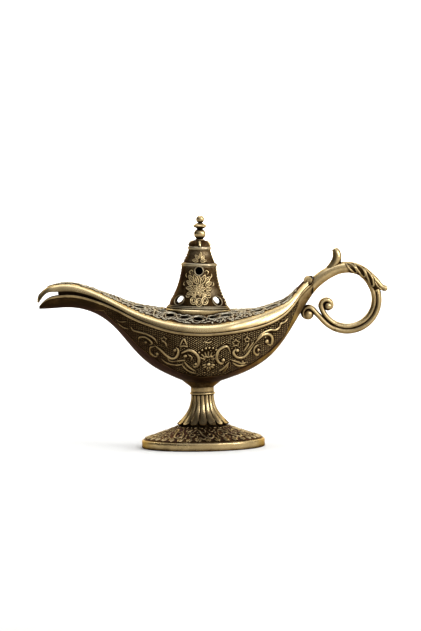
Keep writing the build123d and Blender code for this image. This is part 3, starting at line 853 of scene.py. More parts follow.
def dress(piece: Thing, body: Body, finish: Material | None = None) -> None:
    """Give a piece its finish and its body.

    Args:
        piece: The finished object.
        body: The body that it moves with.
        finish: Its material, unless the piece has one.
    """
    if finish:
        piece.data.materials.clear()
        piece.data.materials.append(finish)
    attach(piece, body.value)
    LOG.info("%s: %d faces, on %s", piece.name, len(piece.data.polygons), body.value)


# The lamp's own lines


class Station(NamedTuple):
    """Heights and half widths of the hull and lid at each of many places, in millimetres."""

    x: Array
    lip: Array
    keel: Array
    beam: Array
    seam: Array
    crown: Array
    band_top: Array
    shoulder: Array


@dataclass
class HullLines:
    """Fair lines of the boat-shaped hull and of the lid on it, in millimetres.

    A row of shares is place, depth, lip rise, beam, mouth gap, crown and rim band, each a share of its size.
    """

    spout_reach: float = 64.6
    stern_reach: float = 45.0
    half_beam: float = 25.5
    lip_height: float = 46.9
    hull_depth: float = 21.7
    spout_rise: float = 15.4
    stern_rise: float = 18.5
    seam_gap: float = 0.2
    mouth_gap: float = 2.4
    crown_rise: float = 7.9
    band_height: float = 3.2
    band_width: float = 3.3
    band_ease: float = 2.6
    spout_shares: tuple[tuple[float, ...], ...] = (
        (1.00, 0.060, 0.700, 0.059, 0.46, 0.440, 0.82),
        (0.96, 0.172, 0.862, 0.114, 0.80, 0.300, 0.66),
        (0.90, 0.232, 0.957, 0.153, 0.59, 0.371, 0.84),
        (0.80, 0.246, 0.984, 0.200, 0.48, 0.422, 0.88),
        (0.68, 0.256, 0.882, 0.278, 0.38, 0.384, 0.78),
        (0.54, 0.384, 0.664, 0.443, 0.16, 0.426, 0.72),
        (0.39, 0.690, 0.358, 0.631, 0.08, 0.610, 0.79),
        (0.30, 0.822, 0.224, 0.760, 0.00, 0.747, 0.86),
        (0.20, 0.895, 0.097, 0.878, 0.00, 0.880, 0.95),
        (0.10, 0.970, 0.028, 0.967, 0.00, 0.970, 0.98),
    )
    stern_shares: tuple[tuple[float, ...], ...] = (
        (0.00, 1.000, 0.000, 1.000, 0.00, 1.000, 1.00),
        (0.14, 0.966, 0.006, 0.994, 0.00, 0.962, 1.00),
        (0.27, 0.904, 0.030, 0.957, 0.00, 0.890, 1.08),
        (0.38, 0.848, 0.062, 0.885, 0.00, 0.805, 1.20),
        (0.49, 0.773, 0.108, 0.796, 0.00, 0.728, 1.30),
        (0.67, 0.594, 0.251, 0.588, 0.00, 0.696, 1.28),
        (0.80, 0.421, 0.481, 0.400, 0.00, 0.544, 0.95),
        (0.90, 0.344, 0.778, 0.247, 0.00, 0.456, 0.72),
        (1.00, 0.226, 1.000, 0.141, 0.00, 0.380, 0.60),
    )

    def __post_init__(self) -> None:
        """Fair a curve through each column of the table."""
        rows = [(-self.spout_reach * row[0], self.spout_rise * row[2], *row) for row in self.spout_shares]
        rows += [(self.stern_reach * row[0], self.stern_rise * row[2], *row) for row in self.stern_shares]
        x, rise, _, depth, _, beam, mouth, crown, band = np.array(rows).T
        lip = self.lip_height + rise
        seam = lip + self.seam_gap + mouth * self.mouth_gap
        self.curves = {
            "lip": natural_spline(x, lip),
            "keel": natural_spline(x, lip - depth * self.hull_depth),
            "beam": natural_spline(x, beam * self.half_beam),
            "seam": natural_spline(x, seam),
            "crown": natural_spline(x, seam + crown * self.crown_rise),
            "band_top": natural_spline(x, seam + band * self.band_height),
        }

    def at(self, x: Array | float) -> Station:
        """Read every line at some places.

        Args:
            x: Places along the lamp.

        Returns:
            The lines there.
        """
        x = np.asarray(x, float)
        read = {name: curve(x) for name, curve in self.curves.items()}
        beam = read["beam"]
        shoulder = beam - self.band_width * beam / (beam + self.band_ease)
        return Station(x=x, shoulder=shoulder, **read)

    def on_hull(self, x: Array, z: Array, side: int, out: float = 0.0) -> Array:
        """Places on the hull's outside that are seen from the side at x and z.

        Args:
            x: Places along the lamp.
            z: Heights.
            side: Front or back.
            out: How far outside the hull's surface.

        Returns:
            Rows of x, y and z.
        """
        line = self.at(x)
        depth = line.lip - line.keel
        sine = np.clip((line.lip - z) / depth, 0, 0.999)
        cosine = np.sqrt(1 - sine**2)
        outward = np.stack([cosine / line.beam, -sine / depth], -1)
        outward = outward / np.linalg.norm(outward, axis=-1, keepdims=True)
        across, up = outward[..., 0], outward[..., 1]
        return np.stack([x, side * (line.beam * cosine + out * across), z + out * up], -1)

    def lid_top(self, x: Array, y: Array) -> Array:
        """Height of the lid's outside over a plan place.

        Args:
            x: Places along the lamp.
            y: Places across it.

        Returns:
            The heights.
        """
        line = self.at(x)
        shoulder = np.maximum(line.shoulder, 1e-3)
        sag = np.maximum(line.crown - line.band_top, 1e-3)
        bend = (shoulder**2 + sag**2) / (2 * sag)
        crown = line.crown - bend + np.sqrt(np.maximum(bend**2 - np.minimum(np.abs(y), shoulder) ** 2, 0))
        share = np.clip((np.abs(y) - shoulder) / (line.beam - shoulder), 0, 1)
        band = line.seam + (line.band_top - line.seam) * np.sqrt(1 - share**2)
        return np.where(np.abs(y) <= shoulder, crown, band)


HULL = HullLines()


@dataclass(frozen=True)
class Hinge:
    """The pin at the lid's tail and what turns on it, in millimetres."""

    x: float = 43.0
    z: float = 65.8
    knuckle: float = 1.75
    cheeks: float = 3.3
    tongue: float = 1.2
    slot: float = 1.35
    slot_start: float = 41.05
    trough: float = 2.0


HINGE = Hinge()


# Bowl


@dataclass
class Bowl:
    """The boat-shaped hull: lip line, stippled panel with scrollwork, collar, boss and hinge tongue."""

    wall: float = 1.5
    bulkhead: float = 38.5
    line_width: float = 1.1
    line_rise: float = 0.18
    ground_depth: float = 0.25
    panel_limits: Point = (-38.0, 39.5)
    border: float = 0.35
    stipple_pitch: float = 0.80
    stipple_radius: float = 0.27
    stroke_grow: float = 1.42
    ball_grow: float = 1.15
    stroke_room: float = 0.34
    collar: Outline = ((0, 22.1), (4.6, 22.1), (4.6, 24.0), (5.2, 24.5), (8.0, 26.7), (0, 26.7))
    boss: Outline = ((1.55, 25.2), (3.3, 25.2), (3.6, 26.7), (3.6, 29.1), (3.3, 29.4), (1.55, 29.4))
    tongue: Outline = (
        (41.6, 62.0), (44.95, 62.0), (44.95, 67.5), (44.75, 67.7), (42.6, 67.7), (42.4, 67.5),
        (41.6, 66.8), (41.25, 65.8), (41.35, 65.0),
    )
    panel_edge: Outline = (
        (104, 309), (108, 314), (120, 325), (140, 345), (160, 360), (180, 370.5), (200, 375),
        (225, 373), (250, 363), (270, 350), (285, 334), (297, 305), (300, 297),
    )
    # Strokes of the side panel in picture places, with half width in millimetres
    scrolls: Strokes = (
        (0.46, ((230, 349), (226.5, 343), (219, 346), (216.5, 354), (218.5, 359), (222, 360.5),
                (223, 357.5))),
        (0.40, ((229, 359), (224, 365), (218, 369))),
        (0.36, ((228, 362), (225, 367), (222, 371))),
        (0.44, ((236.5, 346), (233.6, 347.5), (233.2, 350.5), (236, 354), (241, 355), (246, 352), (250, 346),
                (254, 341))),
        (0.46, ((254, 341), (258, 336), (262, 332.5), (267, 331.5), (270.5, 334), (271.5, 338), (270, 343),
                (266.5, 342))),
        (0.36, ((258, 342), (254, 345), (253.2, 349.5), (256, 353), (259, 351))),
        (0.34, ((256, 338), (259, 333), (264, 329.5), (270, 327.5), (275, 328), (278.5, 325.5), (280, 322),
                (284, 320.5), (287.5, 317))),
        (0.36, ((232, 360), (238, 363.5), (246, 363))),
        (0.32, ((231, 357), (236, 359), (241, 361), (247, 360.5))),
        (0.34, ((243, 349), (246, 344), (248.5, 340))),
        (0.30, ((246, 348), (250, 343), (253, 339))),
        (0.46, ((182, 350), (183.5, 349), (189, 346.5), (195, 349), (199, 355), (198, 362), (194, 363.5),
                (193.5, 360.5))),
        (0.44, ((176.5, 344), (179, 348), (177, 354), (172, 355.5), (166, 352), (161, 347), (156, 343.5))),
        (0.40, ((156, 343.5), (151.5, 345.5), (151.5, 351), (156, 354.5), (159.5, 352.5))),
        (0.34, ((139.5, 340), (140, 336), (144, 334.5), (149, 336.5), (153, 341), (150, 343))),
        (0.32, ((131.5, 325), (134, 328.5), (140, 330), (148, 332), (155, 336), (158, 341))),
        (0.34, ((184, 358), (189, 364), (196, 369))),
        (0.30, ((182, 362), (188, 368), (196, 371.5))),
        (0.30, ((168, 345), (166, 340), (162, 337))),
        (0.32, ((162, 357), (168, 361), (177, 362.5), (184, 361))),
        (0.28, ((186, 357), (182, 357.5), (176, 358.5))),
        (0.26, ((203, 356), (205, 353), (208, 353.6), (212, 353), (214, 357))),
        (0.24, ((180, 343.5), (184, 335.5), (188, 343.5))),
        (0.24, ((180, 343.5), (184, 342.3), (188, 343.5))),
        (0.26, ((117, 318.5), (121, 320.5), (127, 320))),
        (0.26, ((118, 321.5), (123, 325.5), (129, 327.5))),
        (0.24, ((204, 337.5), (208, 339), (212, 337.5))),
        (0.26, ((168, 352), (170, 358), (176, 359))),
        (0.28, ((188, 351), (192, 354), (191, 358))),
    )
    balls: tuple[Place, ...] = (
        (222.8, 356.8, 0.75), (236.8, 347.2, 0.70), (265.8, 339.0, 0.85), (257.5, 347.5, 0.62),
        (264.5, 334.8, 0.40), (185.7, 352.6, 0.75), (196.2, 360.6, 0.68), (175.5, 347.0, 0.68),
        (158.0, 351.4, 0.70), (147.0, 340.0, 0.70), (208.5, 361.0, 0.74), (238.0, 359.3, 0.40),
        (242.2, 359.0, 0.42), (246.5, 360.3, 0.38), (199.2, 348.8, 0.44), (202.2, 346.4, 0.44),
        (205.7, 344.6, 0.44), (209.3, 344.0, 0.44), (212.8, 344.4, 0.44), (216.0, 346.0, 0.44),
        (208.5, 367.5, 0.40), (204.5, 370.0, 0.34), (212.8, 370.0, 0.34), (184.0, 340.0, 0.28),
    )
    fan_centre: Point = (208.3, 357.5)
    fan_rays: tuple[float, ...] = (22, 45, 68, 90, 112, 135, 158)
    ray_reach: Point = (3.2, 9.6)
    flower: Point = (208.5, 361.0)
    petals: tuple[float, ...] = (-170, -140, -105, -75, -40, -10)
    petal_reach: Point = (2.6, 6.4)
    stars: tuple[Place, ...] = ((235.5, 339.6, 4.2), (246.5, 336.5, 3.2), (164.5, 336.5, 3.4))

    def build(self, brass: Material, relief: Material) -> None:
        """Make the bowl and its ornament and put them in the modelled bowl's place.

        Args:
            brass: Finish of the casting.
            relief: Finish of the raised work.
        """
        body = self.casting()
        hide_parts("bowl")
        dress(body, Body.BASE, brass)
        scrolls, stipple = self.ornament()
        for drawing in (scrolls, stipple):
            dress(drawing.piece(relief), Body.BASE)

    def panel_z(self, x: Array) -> Array:
        """Height of the panel's lower edge."""
        edge = side_view(self.panel_edge)
        return np.interp(x, edge[:, 0], edge[:, 1])

    def painted_side_shade(self, x: Array) -> Array:
        """How much darker the bowl is painted towards the spout, as painted shade, 0 to 1."""
        return ease((2.0 - x) / 36.0)

    def trough(self, x: Array) -> Array:
        """Height of the hollow that the hinge turns in."""
        reach = HINGE.trough**2 - (x - HINGE.x) ** 2
        return np.where(reach > 0, HINGE.z - np.sqrt(np.maximum(reach, 0)), 1e3)

    def section(self, x: float, solid: bool) -> tuple[Array, Array]:
        """One closed section of the hull.

        Args:
            x: Its place.
            solid: Whether it is filled up to the lip.

        Returns:
            Its points, and how dark each is painted, for patina and for painted shade.
        """
        line = HULL.at(x)
        beam, depth = float(line.beam), float(line.lip - line.keel)
        turn = np.linspace(0, math.pi / 2, 400)
        steps = np.hypot(np.diff(beam * np.cos(turn)), np.diff(depth * np.sin(turn)))
        run = np.concatenate([[0], np.cumsum(steps)])
        scale = min(1.0, run[-1] / 8.0)
        sine = min(max((float(line.lip) - float(self.panel_z(x))) / depth, 0.25), 0.97)
        edge = max(float(np.interp(math.asin(sine), turn, run)), 3.0 * scale)
        start = (self.line_width + 0.15) * scale
        low, high = self.panel_limits
        live = float(ease((x - low) / 1.5) * ease((high - x) / 1.5))
        side_shade = float(self.painted_side_shade(x))
        mould = np.array([0.0, 0.12, 0.3, 0.55, 0.8, 1.0]) * self.line_width * scale
        ground = np.linspace(start, edge, 16)
        fillet = np.array([edge + 0.15 * scale, edge + 0.35 * scale])
        rest = np.linspace(edge + 0.6 * scale, run[-1], 9)
        place = np.concatenate([mould, ground, fillet, np.maximum(rest, edge + 0.6 * scale)])
        place = np.minimum(place, run[-1])
        bulge = self.line_rise * scale * np.sin(np.pi * np.array([0.0, 0.2, 0.4, 0.6, 0.85, 1.0]))
        sunken = np.full(16, -self.ground_depth * live)
        out = np.concatenate([bulge, sunken, [0.04 * live, 0.02 * live], np.zeros(9)])
        out = np.where(np.arange(len(out)) == 6, -0.2 * self.ground_depth, out)
        # Painted shade: towards the spout the ground and the smooth border under the panel are painted
        # darker.
        ground_shade = max(live, 0.62 * side_shade)
        border = self.border * (1.0 - float(ease((x - 5.0) / 15.0))) + 0.33 * side_shade
        deep = np.concatenate([np.zeros(6), np.full(16, ground_shade), [0.1, 0.2], np.full(9, border)])
        # Painted shadow along the lip's top under the lid's seam; the step down to the ground is dark patina.
        deep[0], deep[5:7] = 0.7, 0.8
        turns = np.interp(place, run, turn)
        across = np.cos(turns) / beam
        down = np.sin(turns) / depth
        size = np.hypot(across, down)
        y = beam * np.cos(turns) + out * across / size
        z = float(line.lip) - depth * np.sin(turns) - out * down / size
        y[-1] = 0.0
        wall = min(self.wall, 0.45 * beam, 0.45 * depth)
        inner_y = (beam - wall) * np.cos(turns)
        hollow = 0.0 if solid else depth - wall
        inner_z = float(line.lip) - hollow * np.sin(turns)
        inner_y[-1] = 0.0
        ring_y = np.concatenate([y, -y[-2::-1], -inner_y, inner_y[-2::-1]])
        ring_z = np.concatenate([z, z[-2::-1], inner_z, inner_z[-2::-1]])
        ring_z = np.minimum(ring_z, float(self.trough(np.array(x))))
        points = np.stack([np.full_like(ring_y, x), ring_y, ring_z], -1)
        return points, np.concatenate([deep, deep[-2::-1], np.ones(2 * len(y) - 1)])

    def casting(self) -> Thing:
        """Make the hull with its collar, boss and hinge tongue.

        Returns:
            The casting.
        """
        skin = Skin()
        spout = -HULL.spout_reach + 3 * np.linspace(0, 1, 12) ** 1.5
        middle = np.arange(-61.2, self.bulkhead - 0.3, 0.5)
        stern = np.arange(self.bulkhead + 0.4, HULL.stern_reach, 0.25)
        stations = [(x, False) for x in (*spout, *middle, self.bulkhead)]
        stations += [(x, True) for x in (self.bulkhead, *stern, HULL.stern_reach)]
        sections = [self.section(float(x), solid) for x, solid in stations]
        points = np.array([points for points, _ in sections])
        numbers = skin.grid(points, np.array([deep for _, deep in sections]), around=True)
        half = numbers.shape[1] // 2
        for end in (numbers[0], numbers[-1][::-1]):
            outer, inner = end[:half], end[half:][::-1]
            for one, two, three, four in zip(outer, outer[1:], inner[1:], inner):
                skin.faces.append((int(one), int(four), int(three), int(two)))
        skin.turned(self.collar, 64)
        skin.turned(self.boss, 48)
        skin.plate(self.tongue, -HINGE.tongue, HINGE.tongue)
        return skin.piece("bowl_casting")

    def ornament(self) -> tuple[Relief, Relief]:
        """Draw the scrollwork and the stippled ground of both side panels.

        Returns:
            The scrollwork and the stipple.
        """
        # Painted shade: the relief is painted darker towards the spout as well.
        scrolls = Relief("bowl_scrollwork", blackening=lambda x: 0.5 * self.painted_side_shade(x))
        stipple = Relief("bowl_stipple", rounds=1, blackening=lambda x: 0.65 * self.painted_side_shade(x))
        for side in (FRONT, BACK):
            first = len(scrolls.points)
            for width, drawn in self.scrolls:
                scrolls.stroke(self.laid(flowing(np.array(drawn)), side), width * self.stroke_grow)
            for across, down, radius in self.balls:
                scrolls.bead(self.laid([(across, down)], side)[0], radius * self.ball_grow)
            for centre, angles, reach, width, ends in (
                (self.fan_centre, self.fan_rays, np.linspace(*self.ray_reach, 5), 0.30, (0.3, 1.0)),
                (self.flower, self.petals, np.linspace(*self.petal_reach, 4), 0.50, (0.5, 0.5)),
            ):
                for angle in angles:
                    ray = np.array([math.cos(math.radians(angle)), -math.sin(math.radians(angle))])
                    scrolls.stroke(self.laid(np.array(centre) + np.outer(reach, ray), side), width, ends)
            for across, down, radius in self.stars:
                corner = np.arange(10)
                turns, reach = np.radians(90 + 36 * corner), np.where(corner % 2, 0.5, 1.0) * radius
                corners = np.stack([across + reach * np.cos(turns), down - reach * np.sin(turns)], -1)
                scrolls.stroke(self.laid(corners, side), 0.24, closed=True)
            dots = self.dots(side)
            taken = np.array(scrolls.points[first:])
            reach = np.array(scrolls.reach[first:])
            gap = np.linalg.norm(dots[:, None] - taken[None], axis=-1) - reach
            for dot in dots[gap.min(axis=1) > self.stroke_room]:
                stipple.bead(dot, self.stipple_radius)
        return scrolls, stipple

    def laid(self, drawn: Iterable[Point], side: int) -> Array:
        """Lay picture places on the panel's ground."""
        places = side_view(drawn)
        return HULL.on_hull(places[:, 0], places[:, 1], side, 0.02 - self.ground_depth)

    def dots(self, side: int) -> Array:
        """Place the ground's stipple, in rows that follow the lip.

        Args:
            side: Front or back.

        Returns:
            Rows of x, y and z.
        """
        low, high = self.panel_limits
        found = []
        for column, x in enumerate(np.arange(low + 0.6, high - 1.0, self.stipple_pitch * 0.87)):
            top = float(HULL.at(x).lip) - self.line_width - 0.62 - (column % 2) * self.stipple_pitch / 2
            z = np.arange(top, float(self.panel_z(x)) + 0.4, -self.stipple_pitch)
            found.append(HULL.on_hull(np.full(len(z), x), z, side, -self.ground_depth))
        return np.vstack(found)


# Lid


@dataclass
class Lid:
    """The lid: rim band, pierced crown, beak over the spout, seat for the dome and hinge cheeks."""

    wall: float = 1.4
    beak: float = 0.8
    nose: float = 1.1
    solid_from: float = 38.5
    band_rows: int = 9
    crown_cells: int = 92
    station_step: float = 0.42
    seat_radius: float = 13.4
    seat_thickness: float = 2.6
    smoke_radius: float = 9.0
    guard_limits: Point = (-57.0, -14.0)
    guard_thickness: float = 0.5
    guard_drop: float = 0.9
    garland_radius: float = 16.8
    garland: int = 18
    # How much further out each kind of the garland's holes stands, half its length and its turn
    garland_kinds: tuple[Place, Place] = ((-0.3, 1.9, math.pi / 2), (0.5, 2.3, 0.5))
    garland_width: float = 1.75
    # Where each runner of holes starts, how many places it has and which way it goes
    runners: tuple[tuple[float, int, int], ...] = ((24.5, 6, -1), (22.5, 3, 1))
    runner_step: float = 5.2
    narrow_shoulder: float = 6.8
    rim: float = 0.24
    rim_room: float = 0.45
    seam_shade: float = 0.95
    seed: int = 11
    leaf_pitch: float = 1.9
    leaf_shapes: tuple[Outline, ...] = (
        ((-1.1, -0.1), (-0.5, 0.75), (0.4, 0.7), (0.7, -0.1)),
        ((-1.0, -0.5), (-0.2, 0.3), (1.1, 0.4)),
        ((-0.9, 0.6), (0.0, 0.2), (0.1, -0.7), (0.9, -1.0)),
    )

    def build(self, band: Material, crown: Material) -> None:
        """Make the lid and its ornament and put them in the modelled lid's place.

        Args:
            band: Finish of the casting.
            crown: Finish of the raised work.
        """
        body = self.casting()
        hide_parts("lid")
        dress(body, Body.LID, band)
        dress(self.ornament().piece(crown), Body.LID)

    def holes(self) -> list[tuple[float, float, float, float, float]]:
        """Place the piercings of the crown.

        Returns:
            For each, its centre x and y, half length, half width and turn in radians.
        """
        found = []
        for place in range(self.garland):
            angle = (place + 0.5) * 2 * math.pi / self.garland
            further, half, turn = self.garland_kinds[place % 2]
            reach = self.garland_radius + further
            x, y = PERCH.seat[0] + reach * math.cos(angle), reach * math.sin(angle)
            found.append((x, y, half, self.garland_width, angle + turn))
        for start, count, sign in self.runners:
            for place in range(count):
                x = sign * (start + self.runner_step * place)
                shoulder = float(HULL.at(x).shoulder)
                if shoulder > self.narrow_shoulder:
                    half = 0.19 * shoulder
                    found += [(x, y * shoulder / 2, half, 0.75 * half, y * sign * 0.5) for y in (-1, 1)]
                else:
                    half = 0.18 * (shoulder + 1.5)
                    found.append((x, 0.0, 1.25 * half, 0.85 * half, 0.0))
        return found

    def clearance(self, x: Array, y: Array) -> tuple[Array, Array, Array]:
        """Distance in plan to the nearest opening's edge, below zero inside it.

        Args:
            x: Places along the lamp.
            y: Places across it.

        Returns:
            The distance and the plan direction that leads away from that opening.
        """
        best = np.full(x.shape, 1e3)
        away = [np.zeros(x.shape), np.zeros(x.shape)]
        ovals = [*self.holes(), (PERCH.seat[0], 0.0, self.smoke_radius, self.smoke_radius, 0.0)]
        for hole_x, hole_y, long, short, turn in ovals:
            c, s = math.cos(turn), math.sin(turn)
            u, v = (x - hole_x) * c + (y - hole_y) * s, (y - hole_y) * c - (x - hole_x) * s
            level = np.hypot(u / long, v / short) + 1e-9
            grad_u, grad_v = u / long**2 / level, v / short**2 / level
            steep = np.hypot(grad_u, grad_v) + 1e-9
            gap = (level - 1) / steep
            nearer = gap < best
            best = np.where(nearer, gap, best)
            away[0] = np.where(nearer, (grad_u * c - grad_v * s) / steep, away[0])
            away[1] = np.where(nearer, (grad_u * s + grad_v * c) / steep, away[1])
        side, end = HINGE.slot - np.abs(y), x - HINGE.slot_start
        slot = -np.minimum(side, end)
        nearer = (slot < best) & (slot < 1.5)
        best = np.where(nearer, slot, best)
        by_side = side < end
        away[0] = np.where(nearer, np.where(by_side, 0.0, -1.0), away[0])
        away[1] = np.where(nearer, np.where(by_side, np.sign(y), 0.0), away[1])
        return best, away[0], away[1]

    def casting(self) -> Thing:
        """Make the lid's shell with its seat ring, guard and hinge cheeks.

        Returns:
            The casting.
        """
        skin = Skin()
        tip = -HULL.spout_reach - self.beak
        nose = tip + self.nose * np.linspace(0, 1, 9) ** 2
        middle = np.arange(nose[-1] + self.station_step, self.solid_from - 0.1, self.station_step)
        stern = np.arange(self.solid_from + 0.2, HINGE.x, 0.21)
        x = np.concatenate([nose, middle, [self.solid_from, self.solid_from], stern, [HINGE.x]])
        solid = np.arange(len(x)) > len(nose) + len(middle)
        line = HULL.at(x)
        shrink = np.sqrt(np.clip(1 - (1 - (x - tip) / self.nose).clip(0, 1) ** 2, 0, 1))
        crown = np.linspace(-1, 1, self.crown_cells + 1)
        turn = np.linspace(0, math.pi / 2, self.band_rows)[:-1]
        beam, shoulder = (line.beam * shrink)[:, None], (line.shoulder * shrink)[:, None]
        side = shoulder + (beam - shoulder) * np.cos(turn)
        y = np.hstack([-side, shoulder * crown, side[:, ::-1]])
        along = np.repeat(x[:, None], y.shape[1], axis=1)
        flat = slice(self.band_rows, self.band_rows - 2 + self.crown_cells)
        gap, out_x, out_y = self.clearance(along[:, flat], y[:, flat])
        reach = 0.5 * self.station_step + 0.05
        near = (np.abs(gap) < reach) & ~solid[:, None] & (np.arange(len(x)) > len(nose))[:, None]
        slot_end = solid[:, None] & (np.abs(gap) < 0.16)
        pull = np.where(near | slot_end, gap, 0.0)
        along[:, flat] -= pull * out_x
        along[x >= HINGE.x, flat] = HINGE.x
        y[:, flat] -= pull * out_y
        stretch = 1 / np.maximum(shrink, 0.05)[:, None]
        top = HULL.lid_top(along, y * stretch)
        seam = HULL.at(along).seam
        outer = np.stack([along, y, seam + (top - seam) * shrink[:, None]], -1)
        wall = np.minimum(self.wall, 0.45 * HULL.at(along).beam)
        inner_y = y * (1 - wall / np.maximum(HULL.at(along).beam, 1e-3))
        thick = np.minimum(wall, 0.8 * (outer[..., 2] - seam))
        inner_z = np.where(solid[:, None], seam, np.maximum(outer[..., 2] - thick, seam))
        inner_z[:, 0], inner_z[:, -1] = seam[:, 0], seam[:, -1]
        outer[:, 0, 2], outer[:, -1, 2] = seam[:, 0], seam[:, -1]
        inner = np.stack([along, inner_y, inner_z], -1)
        middle = [(at[:-1, :-1] + at[1:, :-1] + at[:-1, 1:] + at[1:, 1:]) / 4 for at in (along, y)]
        keep = self.clearance(*middle)[0] > 0
        sunk = np.where(np.abs(y) < shoulder - 0.35, 0.95, 0.0)
        # Painted shadow along the band's lower edges, at the seam with the bowl.
        sunk[:, [0, -1]] = self.seam_shade
        skin.wall(outer, inner, keep, (sunk, 1.0), around=False)
        first = len(skin.points)
        hole, edge, depth = self.smoke_radius, self.seat_radius, self.seat_thickness
        skin.turned(((hole, -depth), (edge, -depth), (edge, -0.35), (edge - 0.35, 0), (hole, 0)), 128)
        skin.tilt(first)
        self.guard(skin)
        for sign in (-1, 1):
            centre = (HINGE.x, sign * (HINGE.cheeks + HINGE.slot) / 2, HINGE.z)
            skin.bar(centre, HINGE.knuckle, (HINGE.cheeks - HINGE.slot) / 2)
        return skin.piece("lid_casting")

    def guard(self, skin: Skin) -> None:
        """The thin skirt that hangs inside the spout's lip and keeps the lid in line.

        Args:
            skin: The casting that it belongs to.
        """
        low, high = self.guard_limits
        x = np.linspace(low, high, 90)
        line = HULL.at(x)
        fade = ease((high - x) / 6.0) * ease((x - low + 0.6) / 1.5)
        for side in (-1, 1):
            outside = side * (line.beam - np.minimum(self.wall, 0.45 * line.beam) - 0.25)
            inside = outside - side * self.guard_thickness
            top = line.seam + 0.25
            bottom = top - fade * (line.seam - line.lip + self.guard_drop) - 0.05
            ring = [(outside, top), (outside, bottom), (inside, bottom), (inside, top)]
            points = np.stack([np.stack([x, y, z], -1) for y, z in ring], axis=1)
            numbers = skin.grid(points, 0.9, around=True)
            skin.faces.append(tuple(numbers[0].tolist()))
            skin.faces.append(tuple(reversed(numbers[-1].tolist())))

    def on_crown(self, plan: Array, out: float = 0.0) -> Array:
        """Lay plan places on the crown.

        Args:
            plan: Rows of x and y.
            out: How far above the surface.

        Returns:
            Rows of x, y and z.
        """
        plan = np.asarray(plan, float)
        return np.column_stack([plan, HULL.lid_top(plan[:, 0], plan[:, 1]) + out])

    def ornament(self) -> Relief:
        """Draw the rims of the piercings, the vine between them and its leaves.

        Returns:
            The drawing.
        """
        relief = Relief("lid_scrollwork")
        for x, y, long, short, turn in self.holes():
            plan = oval((x, y), long + self.rim, short + self.rim, 22, turn)
            relief.stroke(self.on_crown(plan, -0.06), self.rim, closed=True)
        self.vine(relief)
        self.leaves(relief)
        return relief

    def vine(self, relief: Relief) -> None:
        """Draw a waving stem round the dome's seat, and one along each run of the crown.

        Args:
            relief: The drawing that they go in.
        """
        angle = np.linspace(0, 2 * math.pi, 360, endpoint=False)
        reach = 17.0 + 2.6 * np.sin(9 * angle)
        plan = np.stack([PERCH.seat[0] + reach * np.cos(angle), reach * np.sin(angle)], -1)
        relief.stroke(self.on_crown(self.held(plan), 0.05), 0.36, closed=True)
        for sign, start, stop in ((-1, 21.0, 60.5), (1, 20.0, 38.5)):
            for hand in (-1, 1):
                x = sign * np.arange(start, stop, 0.5)
                shoulder = HULL.at(x).shoulder
                wave = np.sin((np.abs(x) - start) * math.pi / self.runner_step)
                sway = np.where(shoulder > self.narrow_shoulder, 0.3, 0.15)
                y = hand * shoulder * (0.56 + sway * wave)
                relief.stroke(self.on_crown(self.held(np.stack([x, y], -1)), 0.03), 0.34)

    def held(self, plan: Array) -> Array:
        """Keep plan places off the piercings and inside the crown's shoulders.

        Args:
            plan: Rows of x and y.

        Returns:
            The rows, moved where they need it.
        """
        gap, away_x, away_y = self.clearance(plan[:, 0], plan[:, 1])
        push = np.maximum(self.rim_room - gap, 0)
        x, y = plan[:, 0] + push * away_x, plan[:, 1] + push * away_y
        limit = HULL.at(x).shoulder - 0.7
        return np.column_stack([x, np.clip(y, -limit, limit)])

    def leaves(self, relief: Relief) -> None:
        """Draw small curled leaves and buds wherever the crown has room, from a fixed seed.

        Args:
            relief: The drawing that they go in.
        """
        chance = np.random.RandomState(self.seed)
        for column, x in enumerate(np.arange(-60.0, 39.0, self.leaf_pitch * 0.87)):
            shoulder = float(HULL.at(x).shoulder)
            for y in np.arange(-24.0 + (column % 2) * self.leaf_pitch / 2, 24.0, self.leaf_pitch):
                turn, grow = chance.uniform(0, 2 * math.pi), chance.uniform(0.85, 1.15)
                kind = chance.randint(3)
                from_seat = math.hypot(x - PERCH.seat[0], y)
                if abs(y) > shoulder - 0.6 or from_seat < self.seat_radius + 0.6:
                    continue
                if self.clearance(np.array([x]), np.array([y]))[0][0] < self.rim_room:
                    continue
                curl = spun(np.array(self.leaf_shapes[kind]) * grow, turn)
                plan = self.held(flowing(curl + (x, y), 3))
                relief.stroke(self.on_crown(plan, 0.05), 0.36, (0.7, 0.4))
                if kind == 0:
                    relief.bead(self.on_crown(plan[-1:], 0.1)[0], 0.52)


# Dome


